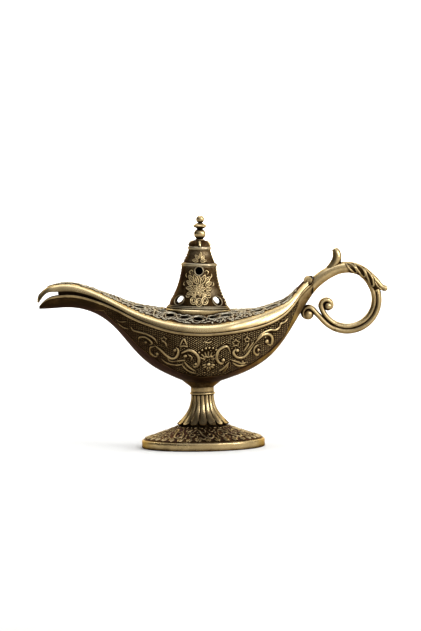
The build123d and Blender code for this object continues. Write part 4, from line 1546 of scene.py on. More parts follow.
@dataclass
class Dome:
    """The leaning bell-shaped chimney: three tiers, two rings, vents and leaf relief, in its own frame."""

    radius: float = 12.6
    wall: float = 1.3
    flange: float = 1.4
    vent_radius: float = 1.8
    vent_height: float = 3.5
    vent_turns: tuple[float, ...] = (-135, -45, 45, 135)
    vent_stretch: float = 1.3
    high_vent: Point = (15.4, 1.6)
    high_vent_turns: tuple[float, ...] = (-90, 30, 150)
    ring_bulge: float = 0.3
    bell_shares: Outline = (
        (0.05, 0.92), (0.12, 0.88), (0.20, 0.785), (0.34, 0.667), (0.49, 0.587), (0.62, 0.55),
    )
    ring_shares: tuple[float, ...] = (0.62, 0.665)
    cap_shares: Outline = ((0.675, 0.495), (0.708, 0.468), (0.78, 0.397), (0.854, 0.349))
    high_ring_shares: tuple[float, ...] = (0.862, 0.905)
    crest_shares: Outline = ((0.912, 0.338), (0.943, 0.318), (0.975, 0.262), (1.0, 0.18))
    # Root, tip and half width of the bouquet's leaves, and of the leaves above the lower ring
    bouquet: tuple[tuple[Point, Point, float], ...] = (
        ((-0.5, 10.2), (-1.9, 14.0), 0.95), ((0.9, 10.2), (2.6, 13.9), 0.95),
        ((-1.9, 11.0), (-4.3, 13.6), 0.75), ((2.6, 11.0), (4.9, 13.2), 0.75),
        ((-2.3, 9.6), (-5.1, 11.3), 0.70), ((2.7, 9.6), (5.6, 11.0), 0.70),
        ((-2.4, 8.2), (-5.3, 8.6), 0.68), ((2.8, 8.2), (5.7, 8.4), 0.68),
        ((-2.2, 6.8), (-4.9, 6.0), 0.62), ((2.6, 6.8), (5.2, 6.0), 0.62),
        ((-1.0, 5.6), (-2.9, 5.9), 0.40), ((1.4, 5.6), (3.4, 5.9), 0.40),
    )
    spray: tuple[tuple[Point, Point, float], ...] = (
        ((-0.4, 0.7), (-2.9, 1.0), 0.60), ((0.4, 0.7), (2.9, 0.9), 0.60),
        ((-0.3, 1.5), (-1.7, 3.1), 0.52), ((0.2, 1.7), (0.7, 4.2), 0.52),
        ((0.8, 1.4), (2.2, 2.8), 0.44),
    )
    # Small curls on both sides of the bouquet, with their half width
    curls: Strokes = (
        (0.23, ((3.3, 13.9), (3.9, 14.9), (3.0, 15.6), (2.3, 15.0))),
        (0.21, ((4.9, 12.6), (5.6, 13.4), (5.3, 14.3))),
        (0.21, ((5.9, 9.4), (6.6, 9.9), (6.3, 10.9))),
        (0.21, ((1.5, 11.4), (0.5, 12.6), (0.3, 13.6))),
        (0.21, ((3.4, 5.2), (4.6, 4.9), (5.2, 5.6))),
    )

    def __post_init__(self) -> None:
        """Draw the half outline, radius against height."""
        rows = [flowing(np.array(self.bell_shares), 8)]
        turn = np.linspace(0, math.pi, 9)
        for (low, high), radius, tier in (
            (self.ring_shares, 0.55, self.cap_shares),
            (self.high_ring_shares, 0.35, self.crest_shares),
        ):
            up = (low + high) / 2 - (high - low) / 2 * np.cos(turn)
            rows.append(np.stack([up, radius + self.ring_bulge / self.radius * np.sin(turn)], -1))
            rows.append(flowing(np.array(tier), 6))
        shares = np.vstack(rows)
        self.heights, self.radii = shares[:, 0] * PERCH.crest, shares[:, 1] * self.radius

    def build(self, brass: Material, relief: Material) -> None:
        """Make the dome and its ornament and put them in the modelled dome's place.

        Args:
            brass: Finish of the casting.
            relief: Finish of the raised work.
        """
        body = self.casting()
        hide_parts("dome")
        dress(body, Body.LID, brass)
        dress(self.bosses().piece(brass), Body.LID)
        dress(self.scrolls().piece(relief), Body.LID)
        dress(self.leaves().piece(relief), Body.LID)

    def radius_at(self, height: Array) -> Array:
        """Outside radius at a height."""
        return np.interp(height, self.heights, self.radii)

    def on_wall(self, turn: Array, height: Array, out: float = 0.0) -> Array:
        """Places on the dome's outside, in its own frame.

        Args:
            turn: Angle round the axis, in degrees.
            height: Height above the seat.
            out: How far outside the surface.

        Returns:
            Rows of x, y and z.
        """
        return about_z(self.radius_at(height) + out, np.radians(turn), height)

    def vents(self) -> list[tuple[float, float, float, float]]:
        """Turn in degrees, height, radius and stretch across of each vent."""
        low, high = (self.vent_height, self.vent_radius, self.vent_stretch), (*self.high_vent, 1.0)
        return [(turn, *low) for turn in self.vent_turns] + [(turn, *high) for turn in self.high_vent_turns]

    def clearance(self, turn: Array, height: Array) -> tuple[Array, Array, Array]:
        """Distance along the wall to the nearest vent's edge, below zero inside it.

        Args:
            turn: Angles round the axis, in degrees.
            height: Heights above the seat.

        Returns:
            The distance and the way out from that vent, round the wall and up it.
        """
        best = np.full(turn.shape, 1e3)
        away = [np.zeros(turn.shape), np.zeros(turn.shape)]
        for angle, centre, radius, stretch in self.vents():
            apart = (turn - angle + 180) % 360 - 180
            across = np.radians(apart) * self.radius_at(height) / stretch
            gap = np.hypot(across, height - centre)
            nearer = gap - radius < best
            best = np.where(nearer, gap - radius, best)
            away[0] = np.where(nearer, across / (gap + 1e-9), away[0])
            away[1] = np.where(nearer, (height - centre) / (gap + 1e-9), away[1])
        return best, away[0], away[1]

    def casting(self) -> Thing:
        """Make the shell with its vents, its flange and its head.

        Returns:
            The casting.
        """
        skin = Skin()
        low = float(self.heights[0])
        top = self.ring_shares[0] * PERCH.crest
        rows = np.concatenate([np.linspace(low, top, 48), self.heights[self.heights > top + 0.05]])
        columns = np.linspace(-180, 180, 216, endpoint=False)
        turn, height = np.meshgrid(columns, rows)
        gap, out_turn, out_up = self.clearance(turn, height)
        pull = np.where((np.abs(gap) < 0.24) & (height > low + 0.1) & (height < top - 0.1), gap, 0.0)
        radius = self.radius_at(height)
        turn = turn - np.degrees(pull * out_turn / radius)
        height = height - pull * out_up
        outer = self.on_wall(turn, height)
        slope = np.gradient(self.radius_at(rows), rows)[:, None]
        inner_radius = np.maximum(self.radius_at(height) - self.wall / np.sqrt(1 + slope**2), 1.6)
        inner = about_z(inner_radius, np.radians(turn), np.minimum(height, PERCH.crest - self.wall))
        ahead, level = np.roll(turn, -1, axis=1), np.roll(height, -1, axis=1)
        ahead[:, -1] += 360
        middle_turn = (turn[:-1] + ahead[:-1] + turn[1:] + ahead[1:]) / 4
        middle_up = (height[:-1] + level[:-1] + height[1:] + level[1:]) / 4
        keep = self.clearance(middle_turn, middle_up)[0] > 0
        sunk = np.where(height < self.high_ring_shares[1] * PERCH.crest, 0.75, 0.85)
        for low_share, high_share in (self.ring_shares, self.high_ring_shares):
            sunk[(height > low_share * PERCH.crest - 0.1) & (height < high_share * PERCH.crest + 0.1)] = 0.0
        skin.wall(outer, inner, keep, (sunk, 1.0), around=True)
        edge, lip, crest = self.radius, self.flange, PERCH.crest
        flange = ((9.6, 0.03), (edge - 0.25, 0.03), (edge, 0.25), (edge + 0.05, 0.55), (edge - 0.1, 0.8))
        flange += ((edge - 0.55, 0.86), (edge - 0.5, 1.15), (edge - 0.65, lip))
        flange += ((self.bell_shares[0][1] * edge - 0.1, lip + 0.1), (9.6, lip + 0.1))
        skin.turned(flange, 160)
        head = ((1.25, crest - 1.5), (2.2, crest - 1.5), (2.27, crest - 0.15), (2.1, crest), (1.25, crest))
        skin.turned(head, 64)
        skin.tilt()
        return skin.piece("dome_casting")

    def blank(self, name: str, copies: int = 1) -> Relief:
        """An empty drawing in the dome's frame."""
        return Relief(name, copies=copies, lean=PERCH.lean, seat=PERCH.seat)

    def bosses(self) -> Relief:
        """Draw the raised rims round the vents.

        Returns:
            The drawing.
        """
        relief = self.blank("dome_vent_rims")
        around = np.linspace(0, 2 * math.pi, 28, endpoint=False)
        width = 0.22
        for angle, height, radius, stretch in self.vents():
            reach = radius + 0.75 * width
            up = height + reach * np.sin(around)
            turn = angle + np.degrees(stretch * reach * np.cos(around) / self.radius_at(up))
            relief.stroke(self.on_wall(turn, up, 0.05), width, closed=True)
        return relief

    def draw(self, relief: Relief, points: Iterable[Point], width: float, closed: bool = False) -> None:
        """Add a stroke from places across and up the dome's front.

        Args:
            relief: The drawing.
            points: Millimetres across from the front's middle and up from the seat.
            width: Half the stroke's width.
            closed: Whether it runs back to its start.
        """
        line = np.asarray(points, float) if closed else flowing(np.array(points), 5)
        turn = -90 + np.degrees(line[:, 0] / self.radius_at(line[:, 1]))
        relief.stroke(self.on_wall(turn, line[:, 1], 0.08), width, (0.5, 0.5), closed)

    def leaf(self, relief: Relief, root: Point, tip: Point, belly: float, width: float = 0.23) -> None:
        """Add an outlined leaf with a middle vein.

        Args:
            relief: The drawing.
            root: Where it starts.
            tip: Where it ends.
            belly: Half its width.
            width: Half the line's width.
        """
        start, run = np.array(root), np.array(tip) - np.array(root)
        side = np.array([-run[1], run[0]]) / np.linalg.norm(run)
        share = np.array([0.0, 0.12, 0.35, 0.62, 0.86, 1.0])
        swell = np.array([0.0, 0.62, 1.0, 0.86, 0.38, 0.0]) * belly
        for hand in (-1, 1):
            self.draw(relief, start + np.outer(share, run) + hand * np.outer(swell, side), width)
        self.draw(relief, start + np.outer([0.15, 0.45, 0.75], run), width * 0.9)

    def scrolls(self) -> Relief:
        """Draw the bouquet on the bell's front and back, and the bead rows down its sides.

        Returns:
            The drawing.
        """
        relief = self.blank("dome_scrollwork", 2)
        flower = np.array([0.15, 8.0])
        for turn in np.radians(np.arange(8) * 45 + 12):
            way = np.array([math.cos(turn), math.sin(turn)])
            self.leaf(relief, tuple(flower + 0.5 * way), tuple(flower + 2.7 * way), 0.62, 0.2)
        self.draw(relief, oval(tuple(flower), 0.42, 0.42, 14), 0.22, closed=True)
        for across, up, reach in ((-1.9, 3.6, 1.25), (0.35, 3.0, 1.35), (2.6, 3.7, 1.3)):
            self.draw(relief, oval((across, up), reach, 1.15 * reach, 14), 0.24, closed=True)
            self.draw(relief, oval((across, up), 0.5 * reach, 0.6 * reach, 14), 0.19, closed=True)
        for leaf in self.bouquet:
            self.leaf(relief, *leaf)
        for hand in (-1, 1):
            for width, curl in self.curls:
                self.draw(relief, [(hand * across, up) for across, up in curl], width)
        rows = [*np.arange(2.2, 16.6, 1.2), *np.arange(19.2, 23.2, 1.1)]
        for height in rows:
            relief.bead(self.on_wall(np.array([-18.0]), np.array([height]), 0.05)[0], 0.5)
        return relief

    def leaves(self) -> Relief:
        """Draw the spray on the middle tier's front and back, and the crest's ribs.

        Returns:
            The drawing.
        """
        relief = self.blank("dome_leaves", 2)
        base = self.cap_shares[0][0] * PERCH.crest
        for *line, belly in self.spray:
            root, tip = [(across, up + base + 0.1) for across, up in line]
            self.leaf(relief, root, tip, belly, 0.17)
        crest = np.linspace(self.crest_shares[0][0] * PERCH.crest + 0.1, 0.99 * PERCH.crest, 8)
        for angle in (-90.0, 0.0):
            relief.stroke(self.on_wall(np.full(8, angle), crest, -0.2), 0.66, (1.0, 0.5))
        return relief


# Finial


@dataclass
class Finial:
    """The turned knob on the dome: ball, double cone and ball over a neck, on the dome's leaning axis."""

    stud_radius: float = 1.2
    stud_length: float = 4.6
    # Each ball's middle above the crest, its radius and half its height
    low_ball: Place = (2.45, 2.4, 2.25)
    high_ball: Place = (8.3, 1.65, 1.6)
    cone: Outline = (
        (4.65, 1.6), (4.9, 1.9), (5.2, 2.45), (5.5, 2.75), (5.8, 2.75), (6.15, 2.3), (6.65, 1.5),
    )
    neck: Outline = ((0.0, 1.85), (0.3, 1.8), (0.55, 1.4))
    steps: int = 56

    def build(self, brass: Material) -> None:
        """Make the finial in the modelled finial's place.

        Args:
            brass: Its finish.
        """
        rows = list(self.neck)
        for (middle, radius, half), (start, stop), above in (
            (self.low_ball, (-58, 62), flowing(np.array(self.cone), 4)),
            (self.high_ball, (-56, 90), ()),
        ):
            for turn in np.radians(np.linspace(start, stop, 15)):
                rows.append((middle + half * math.sin(turn), radius * math.cos(turn)))
            rows.extend(above)
        low = PERCH.crest - self.stud_length
        outline = [(0.0, low), (self.stud_radius, low), (self.stud_radius, PERCH.crest)]
        outline += [(radius, PERCH.crest + up) for up, radius in rows]
        skin = Skin()
        skin.turned(outline, self.steps)
        skin.tilt()
        body = skin.piece("finial_turning")
        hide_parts("finial")
        dress(body, Body.LID, brass)


# Pedestal


@dataclass
class Pedestal:
    """The fluted trumpet stem and its round foot, cast hollow."""

    foot_radius: float = 24.6
    band: float = 3.25
    step: float = 1.0
    flute_radius: float = 10.6
    flute_height: float = 9.0
    stem_radius: float = 4.5
    height: float = 22.1
    wall: float = 1.6
    bore: float = 3.1
    web: float = 2.2
    flutes: int = 16
    flute_depth: float = 0.62
    copies: int = 9
    seed: int = 5
    stem_shares: Outline = (
        (0.0, 1.0), (0.125, 0.77), (0.28, 0.47), (0.47, 0.205), (0.72, 0.035), (1.0, 0.0),
    )
    # Strokes of one repeat as half width in millimetres and shares across it and up the slope
    scrolls: Strokes = (
        (0.42, ((-0.42, 0.62), (-0.30, 0.78), (-0.14, 0.70), (-0.02, 0.48), (0.10, 0.30), (0.25, 0.26),
                (0.33, 0.42), (0.24, 0.56), (0.15, 0.47))),
        (0.30, ((-0.42, 0.62), (-0.46, 0.46), (-0.36, 0.36), (-0.27, 0.46))),
        (0.27, ((0.10, 0.30), (0.02, 0.20), (-0.10, 0.22))),
        (0.28, ((0.22, 0.76), (0.34, 0.66), (0.46, 0.72), (0.54, 0.60))),
        (0.25, ((-0.20, 0.44), (-0.17, 0.30), (-0.25, 0.22))),
        (0.25, ((0.02, 0.84), (0.10, 0.72), (0.06, 0.62))),
        (0.27, ((0.42, 0.20), (0.46, 0.36), (0.43, 0.50))),
    )
    buds: tuple[Place, ...] = (
        (0.21, 0.47, 0.52), (-0.29, 0.47, 0.46), (-0.06, 0.86, 0.40), (0.44, 0.58, 0.38),
    )

    def build(self, brass: Material, relief: Material) -> None:
        """Make the pedestal and its ornament and put them in the modelled pedestal's place.

        Args:
            brass: Finish of the casting.
            relief: Finish of the raised work.
        """
        body = self.casting()
        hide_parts("pedestal")
        dress(body, Body.BASE, brass)
        dress(self.ornament().piece(relief), Body.BASE)

    def stem_at(self, height: float) -> float:
        """Radius of the stem.

        Args:
            height: Where it is read.

        Returns:
            The radius there.
        """
        shares = np.array(self.stem_shares)
        curve = natural_spline(shares[:, 0], shares[:, 1])
        share = np.clip((height - self.flute_height) / (self.height - self.flute_height), 0, 1)
        return self.stem_radius + curve(share) * (self.flute_radius - self.stem_radius)

    def cone(self, share: Array) -> tuple[Array, Array]:
        """Outline of the foot's slope.

        Args:
            share: Places up it, from its rim at 0 to the flutes' feet at 1.

        Returns:
            Radius and height there.
        """
        rim = self.foot_radius - self.step
        radius = rim + share * (self.flute_radius - 1.2 - rim)
        height = self.band + 0.35 + share * (self.flute_height - 0.55 - self.band)
        return radius, height - 0.15 * np.sin(math.pi * share)

    def on_slope(self, turn: Array, share: Array, out: float = 0.0) -> Array:
        """Places on the foot's slope.

        Args:
            turn: Angles round the axis in radians.
            share: Places up the slope, 0 to 1.
            out: How far above it.

        Returns:
            Rows of x, y and z.
        """
        radius, height = self.cone(share)
        return about_z(radius, turn, height + out)

    def turn_at(self, across: Array) -> Array:
        """Angle in radians of shares of one repeat, counted from the front's middle."""
        return np.radians(-90 + across * (360 / self.copies))

    def casting(self) -> Thing:
        """Make the foot and stem as one closed shell round the screw's bore.

        Returns:
            The casting.
        """
        skin = Skin()
        flute_steps = 12
        steps = self.flutes * flute_steps
        angle = np.linspace(0, 2 * math.pi, steps, endpoint=False) + math.pi / self.flutes
        phase = (np.arange(steps) % flute_steps) / flute_steps
        lobe = np.sqrt(np.clip(1 - (2 * phase - 1) ** 2, 0, 1))
        rows, deep = [], []

        def level(
            radius: float, height: float, lobed: float = 0.0, patina_and_shade: float = 0.0, lift: float = 0.0
        ) -> None:
            """Add one ring.

            Args:
                radius: Its radius on the flutes' crests.
                height: Its height there.
                lobed: How deep it dips between the flutes, as a share of their depth.
                patina_and_shade: How dark it is painted.
                lift: How much higher it is between the flutes.
            """
            reach = radius - lobed * self.flute_depth * (1 - lobe) - lift * (1 - lobe) * 0.55
            rows.append(about_z(reach, angle, height + lift * (1 - lobe)))
            deep.append(patina_and_shade + (0.5 * lobed * (1 - lobe) if lobed else np.zeros(steps)))

        inner_top = self.height - self.web
        rim = self.foot_radius
        level(rim - self.wall, 0.0, patina_and_shade=0.4)
        level(rim - 0.25, 0.0)
        level(rim, 0.25)
        for share in np.linspace(0, 1, 5):
            level(rim, 0.3 + share * (self.band - 0.75))
        level(rim - 0.12, self.band - 0.2)
        level(rim - 0.35, self.band)
        level(rim - 0.8, self.band + 0.05, patina_and_shade=0.4)
        for share in np.linspace(0, 1, 12):
            level(*self.cone(share), patina_and_shade=0.95)
        edge, start = self.flute_radius, self.flute_height
        for turn in np.linspace(0, math.pi / 2, 5):
            level(edge - 0.9 + 0.7 * math.sin(turn), start - 0.15 + 0.7 * (1 - math.cos(turn)), 1.0, lift=1.5)
        for height in np.linspace(start + 0.75, self.height - 1.35, 30):
            level(self.stem_at(height) + 0.05, height, 1.0, lift=1.5 * max(0.0, 1 - (height - start) / 3.2))
        neck = self.stem_radius
        level(neck - 0.1, self.height - 1.2, 0.2, 0.5)
        for turn in np.radians(np.linspace(-80, 80, 7)):
            level(neck + 0.1 + 0.4 * math.cos(turn), self.height - 0.62 + 0.5 * math.sin(turn))
        level(neck, self.height - 0.03, patina_and_shade=0.3)
        level(1.6, self.height - 0.03)
        level(1.6, inner_top)
        level(self.bore, inner_top, patina_and_shade=0.8)
        for height in np.linspace(inner_top - 0.5, start, 8):
            level(max(self.stem_at(height) - self.wall - 0.4, self.bore), height, patina_and_shade=0.8)
        level(rim - self.step - 2.2, self.band - 0.2, patina_and_shade=0.8)
        level(rim - self.wall, self.band - 1.4, patina_and_shade=0.8)
        rows.append(rows[0].copy())
        deep.append(deep[0])
        skin.grid(np.array(rows), np.array(deep), around=True)
        return skin.piece("pedestal_casting")

    def ornament(self) -> Relief:
        """Draw scrolls, sprigs, tufts and buds on the foot's slope, once, to be repeated.

        Returns:
            The drawing.
        """
        relief = Relief("foot_scrollwork", copies=self.copies)
        for width, points in self.scrolls:
            self.draw(relief, points, width)
        self.fill(relief)
        for place in range(4):
            middle = -0.375 + 0.25 * place
            for sway in (-0.055, 0.0, 0.055):
                blade = ((middle + 0.2 * sway, 0.03), (middle + 0.9 * sway, 0.12))
                blade += ((middle + 1.2 * sway, 0.24 - abs(sway)),)
                self.draw(relief, blade, 0.42, (1.0, 0.3))
        for across, up, size in self.buds:
            relief.bead(self.on_slope(self.turn_at(across), up), size)
        return relief

    def draw(self, relief: Relief, points: Iterable[Point], width: float, ends: Point = (0.4, 0.4)) -> None:
        """Add a stroke on the slope.

        Args:
            relief: The drawing.
            points: Shares across one repeat and up the slope.
            width: Half its width.
            ends: Its width at its two ends, as shares.
        """
        line = flowing(np.array(points), 5)
        relief.stroke(self.on_slope(self.turn_at(line[:, 0]), line[:, 1], -0.02), width, ends)

    def fill(self, relief: Relief) -> None:
        """Draw small sprigs between the scrolls, from a fixed seed.

        Args:
            relief: The drawing, with its scrolls.
        """
        chance = np.random.RandomState(self.seed)
        taken = np.array(relief.points)
        reach = np.array(relief.reach)
        for row, share in enumerate(np.arange(0.26, 0.99, 0.125)):
            radius = float(self.cone(share)[0])
            count = int(round(2 * math.pi * radius / self.copies / 1.9))
            for place in range(count):
                angle = self.turn_at((place + 0.5 * (row % 2)) / count - 0.5)
                turn = chance.uniform(0, 2 * math.pi)
                gap = np.linalg.norm(taken - self.on_slope(angle, share), axis=1) - reach
                if gap.min() < 0.42:
                    continue
                bend = spun(np.array([(-0.6, -0.2), (-0.1, 0.25), (0.6, 0.1)]), turn)
                line = self.on_slope(angle + bend[:, 0] / radius, share + bend[:, 1] / 14.0)
                relief.stroke(line, 0.34, (0.7, 0.4))


# Handle


@dataclass
class Handle:
    """The ring handle: strap, thumb leaf, acanthus leaf, two joined strands and their curls."""

    ring: Point = (58.55, 58.0)
    ring_radius: float = 12.8
    lead_radius: float = 28.0
    strap_start: float = 113.0
    strap_end: float = 14.0
    lead_turn: float = 27.0
    stern: float = 45.03
    strap_depth: float = 2.4
    strap_width: float = 3.3
    strand_depth: float = 1.08
    strand_width: float = 1.85
    strand_step: float = 2.0
    groove: float = 0.42
    curl_radius: float = 2.25
    curl_turn: float = 235.0
    inner_ball: float = 1.8
    outer_ball: float = 2.1
    inner_end: float = -165.0
    outer_end: float = -138.0
    outer_lead: float = 6.7
    curl_steps: int = 44
    lobes: tuple[Outline, ...] = (
        ((345.5, 262.8), (350.8, 264.2), (355, 267.8), (356.8, 271.6), (354.4, 272.4), (350.6, 269.6),
         (347.4, 266.2)),
        ((354, 263.8), (359.8, 266.4), (363.8, 270.6), (365.2, 275.6), (362.6, 276), (359.2, 272.4),
         (356.2, 268.2)),
        ((363.8, 268.2), (369, 273), (372.2, 278.4), (373.4, 285), (371, 285.4), (368.6, 280.4),
         (366, 274.4)),
    )
    tip_strokes: tuple[Outline, ...] = (
        ((371, 273.6), (376.2, 280.4), (380.6, 285.4)),
        ((374.6, 281.6), (377.6, 286.4), (382.6, 290.4)),
    )
    leaf_tip: Outline = ((366, 270), (372, 276.2), (377.6, 282.6), (381, 286.4), (384.4, 288.2))
    thumb_line: Outline = (
        (324, 276.5), (330.4, 269.4), (335.2, 262.8), (336.9, 256.6), (335.9, 251.6), (333.6, 248.8),
    )

    def build(self, brass: Material) -> None:
        """Make the handle in the modelled handle's place.

        Args:
            brass: Its finish.
        """
        skin = Skin()
        self.strap(skin)
        self.strands(skin)
        self.thumb(skin)
        body = skin.piece("handle_casting")
        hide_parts("handle")
        dress(body, Body.BASE, brass)
        dress(self.acanthus().piece(brass), Body.BASE)

    def on_ring(self, angle: Array, radius: Array) -> Array:
        """Places round the ring's centre.

        Args:
            angle: Angles in degrees.
            radius: Distances from the centre.

        Returns:
            Rows of x and z.
        """
        turn = np.radians(angle)
        way = np.stack([np.cos(turn), np.sin(turn)], -1)
        return np.array(self.ring) + np.asarray(radius)[..., None] * way

    def strap_at(self, angle: Array) -> tuple[Array, Array, Array]:
        """Read the strap's taper.

        Args:
            angle: Angles round the ring in degrees.

        Returns:
            Its middle's radius, half depth and half width there.
        """
        share = (self.strap_start - angle) / (self.strap_start - self.strap_end)
        radius = self.ring_radius * np.interp(share, (0, 0.3, 0.62, 1), (1.0, 1.0, 0.985, 0.96))
        depth = self.strap_depth * np.interp(share, (0, 0.3, 0.62, 0.9, 1), (0.98, 0.96, 0.86, 0.72, 0.45))
        width = self.strap_width * np.interp(share, (0, 0.3, 0.7, 1), (1.0, 1.0, 0.90, 0.50))
        return radius, depth, width

    def strap(self, skin: Skin) -> None:
        """Add the strap from the stern over the top of the ring.

        Args:
            skin: The casting.
        """
        centre = self.on_ring(np.array(self.strap_start), np.array(self.ring_radius - self.lead_radius))
        lead = np.radians(np.linspace(self.strap_start + self.lead_turn, self.strap_start, 24))[:-1]
        start = centre + self.lead_radius * np.stack([np.cos(lead), np.sin(lead)], -1)
        angle = np.linspace(self.strap_start, self.strap_end, 80)
        radius, depth, width = self.strap_at(angle)
        line = np.vstack([start, self.on_ring(angle, radius)])
        swell = np.linspace(1.06, 1.0, 23)
        depth, width = (np.concatenate([swell * size[0], size]) for size in (depth, width))
        first = len(skin.points)
        skin.sweep(line, depth, width)
        for batch, shade in zip(skin.points[first:], skin.patina_and_shade[first:]):
            batch[:, 0] = np.maximum(batch[:, 0], self.stern)
            across, up = batch[:, 0] - self.ring[0], batch[:, 2] - self.ring[1]
            around = np.degrees(np.arctan2(up, across))
            side = np.abs(batch[:, 1]) > 0.45 * self.strap_at(around)[2]
            # Painted shade on the strap's sides under the acanthus leaf's lobes, fading out towards the top.
            shade += 0.95 * side * ease((92 - around) / 14) * (around > 17)

    def strands(self, skin: Skin) -> None:
        """Add the grooved ring, its two loose ends, and their curls and balls.

        Args:
            skin: The casting.
        """
        inner = self.ring_radius - self.strand_step
        angle = np.linspace(60, -128, 120)
        line = self.on_ring(angle, np.full(120, (inner + self.ring_radius) / 2))
        taper = np.interp(angle, (-128, -118, 30, 60), (0.86, 1.0, 1.0, 0.7))
        depth = self.strand_depth + self.strand_step / 2
        skin.sweep(line, depth * taper, self.strand_width * taper, self.groove)
        self.curl(skin, np.linspace(-114, self.inner_end, 30), inner, 0.0, 1)
        self.curl(skin, np.linspace(-114, self.outer_end, 16), self.ring_radius, self.outer_lead, -1)

    def curl(self, skin: Skin, angle: Array, radius: float, lead: float, way: int) -> None:
        """Add one strand's end: along the ring, straight on, and round into its ball.

        Args:
            skin: The casting.
            angle: Angles that it follows the ring through.
            radius: Its middle's radius on the ring.
            lead: Length that it runs straight for.
            way: 1 when it curls on inwards, -1 when it curls outwards.
        """
        line = self.on_ring(angle, np.full(len(angle), radius))
        last = math.radians(angle[-1])
        ahead = np.array([math.sin(last), -math.cos(last)])
        outward = np.array([math.cos(last), math.sin(last)])
        if lead:
            line = np.vstack([line, line[-1] + np.outer(np.linspace(0.1, 1, 12) * lead, ahead)])
        centre = line[-1] - way * self.curl_radius * outward
        steps = self.curl_steps
        turns = np.radians(np.linspace(4, self.curl_turn, steps))
        shrink = self.curl_radius * np.linspace(1, 0.84, steps)
        spin = way * outward * np.cos(turns)[:, None] + ahead * np.sin(turns)[:, None]
        line = np.vstack([line, centre + shrink[:, None] * spin])
        count = len(line)
        run = np.arange(count)
        places = (0, count - steps, count - 20, count)
        depth = self.strand_depth * np.interp(run, places, (0.96, 1.06, 1.0, 0.8))
        width = self.strand_width * np.interp(run, (0, count - steps, count), (0.97, 1.0, 0.55))
        skin.sweep(line, depth, width)
        skin.ball(centre + (line[-1] - centre) * 0.38, self.inner_ball if way > 0 else self.outer_ball)

    def thumb(self, skin: Skin) -> None:
        """Add the leaf that the thumb rests on, painted darker on its side towards the lid as painted shade,
        and the acanthus leaf's tip.

        Args:
            skin: The casting.
        """
        line = flowing(side_view(self.thumb_line), 8)
        share = np.linspace(0, 1, len(line))
        depth = np.interp(share, (0, 0.2, 0.4, 0.6, 0.8, 1), (1.3, 1.95, 2.0, 1.85, 1.6, 1.0))
        width = np.interp(share, (0, 0.2, 0.4, 0.6, 0.8, 1), (2.2, 2.7, 2.5, 2.3, 1.9, 1.0))
        # Painted shade on the thumb leaf's side towards the lid.
        skin.sweep(line, depth, width, hollow=0.6)
        line = flowing(side_view(self.leaf_tip), 8)
        share = np.linspace(0, 1, len(line))
        depth = np.interp(share, (0, 0.4, 0.75, 1), (0.8, 1.3, 1.1, 1.15))
        width = np.interp(share, (0, 0.4, 0.75, 1), (1.6, 2.3, 1.5, 1.5))
        skin.sweep(line, depth, width)
        skin.ball(line[-1], 1.3)

    def acanthus(self) -> Relief:
        """Draw the leaf's outlined lobes down both sides of the strap.

        Returns:
            The drawing.
        """
        relief = Relief("handle_leaf")
        drawings = [(lobe, True) for lobe in self.lobes] + [(line, False) for line in self.tip_strokes]
        for side in (FRONT, BACK):
            for drawn, closed in drawings:
                corners = np.array(drawn + drawn[:1] if closed else drawn)
                line = side_view(flowing(corners, 5)[: -1 if closed else None])
                away = line - self.ring
                radius, depth, width = self.strap_at(np.degrees(np.arctan2(away[:, 1], away[:, 0])))
                rise = np.clip(np.abs(np.hypot(*away.T) - radius) / depth, 0, 0.8)
                y = side * width * np.sqrt(1 - rise**2)
                relief.stroke(np.stack([line[:, 0], y, line[:, 1]], -1), 0.42, (0.5, 0.6), closed)
        return relief


# Plain modelled pieces that keep their shape


@dataclass
class KeptPieces:
    """The modelled pieces whose shape is right: they only get their finish."""

    brass: tuple[str, ...] = ("hinge_pin", "dome_rivets")
    steel: tuple[str, ...] = ("pedestal_screw", "pedestal_washer", "finial_nut")

    def dress(self, brass: Material, steel: Material) -> None:
        """Give each its material.

        Args:
            brass: Finish of the pin and rivets.
            steel: Finish of the fasteners.
        """
        for names, finish in ((self.brass, brass), (self.steel, steel)):
            for name in names:
                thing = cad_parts[name]
                thing.data.materials.clear()
                thing.data.materials.append(finish)
                LOG.info("%s: kept, %s", name, finish.name)


# Stage


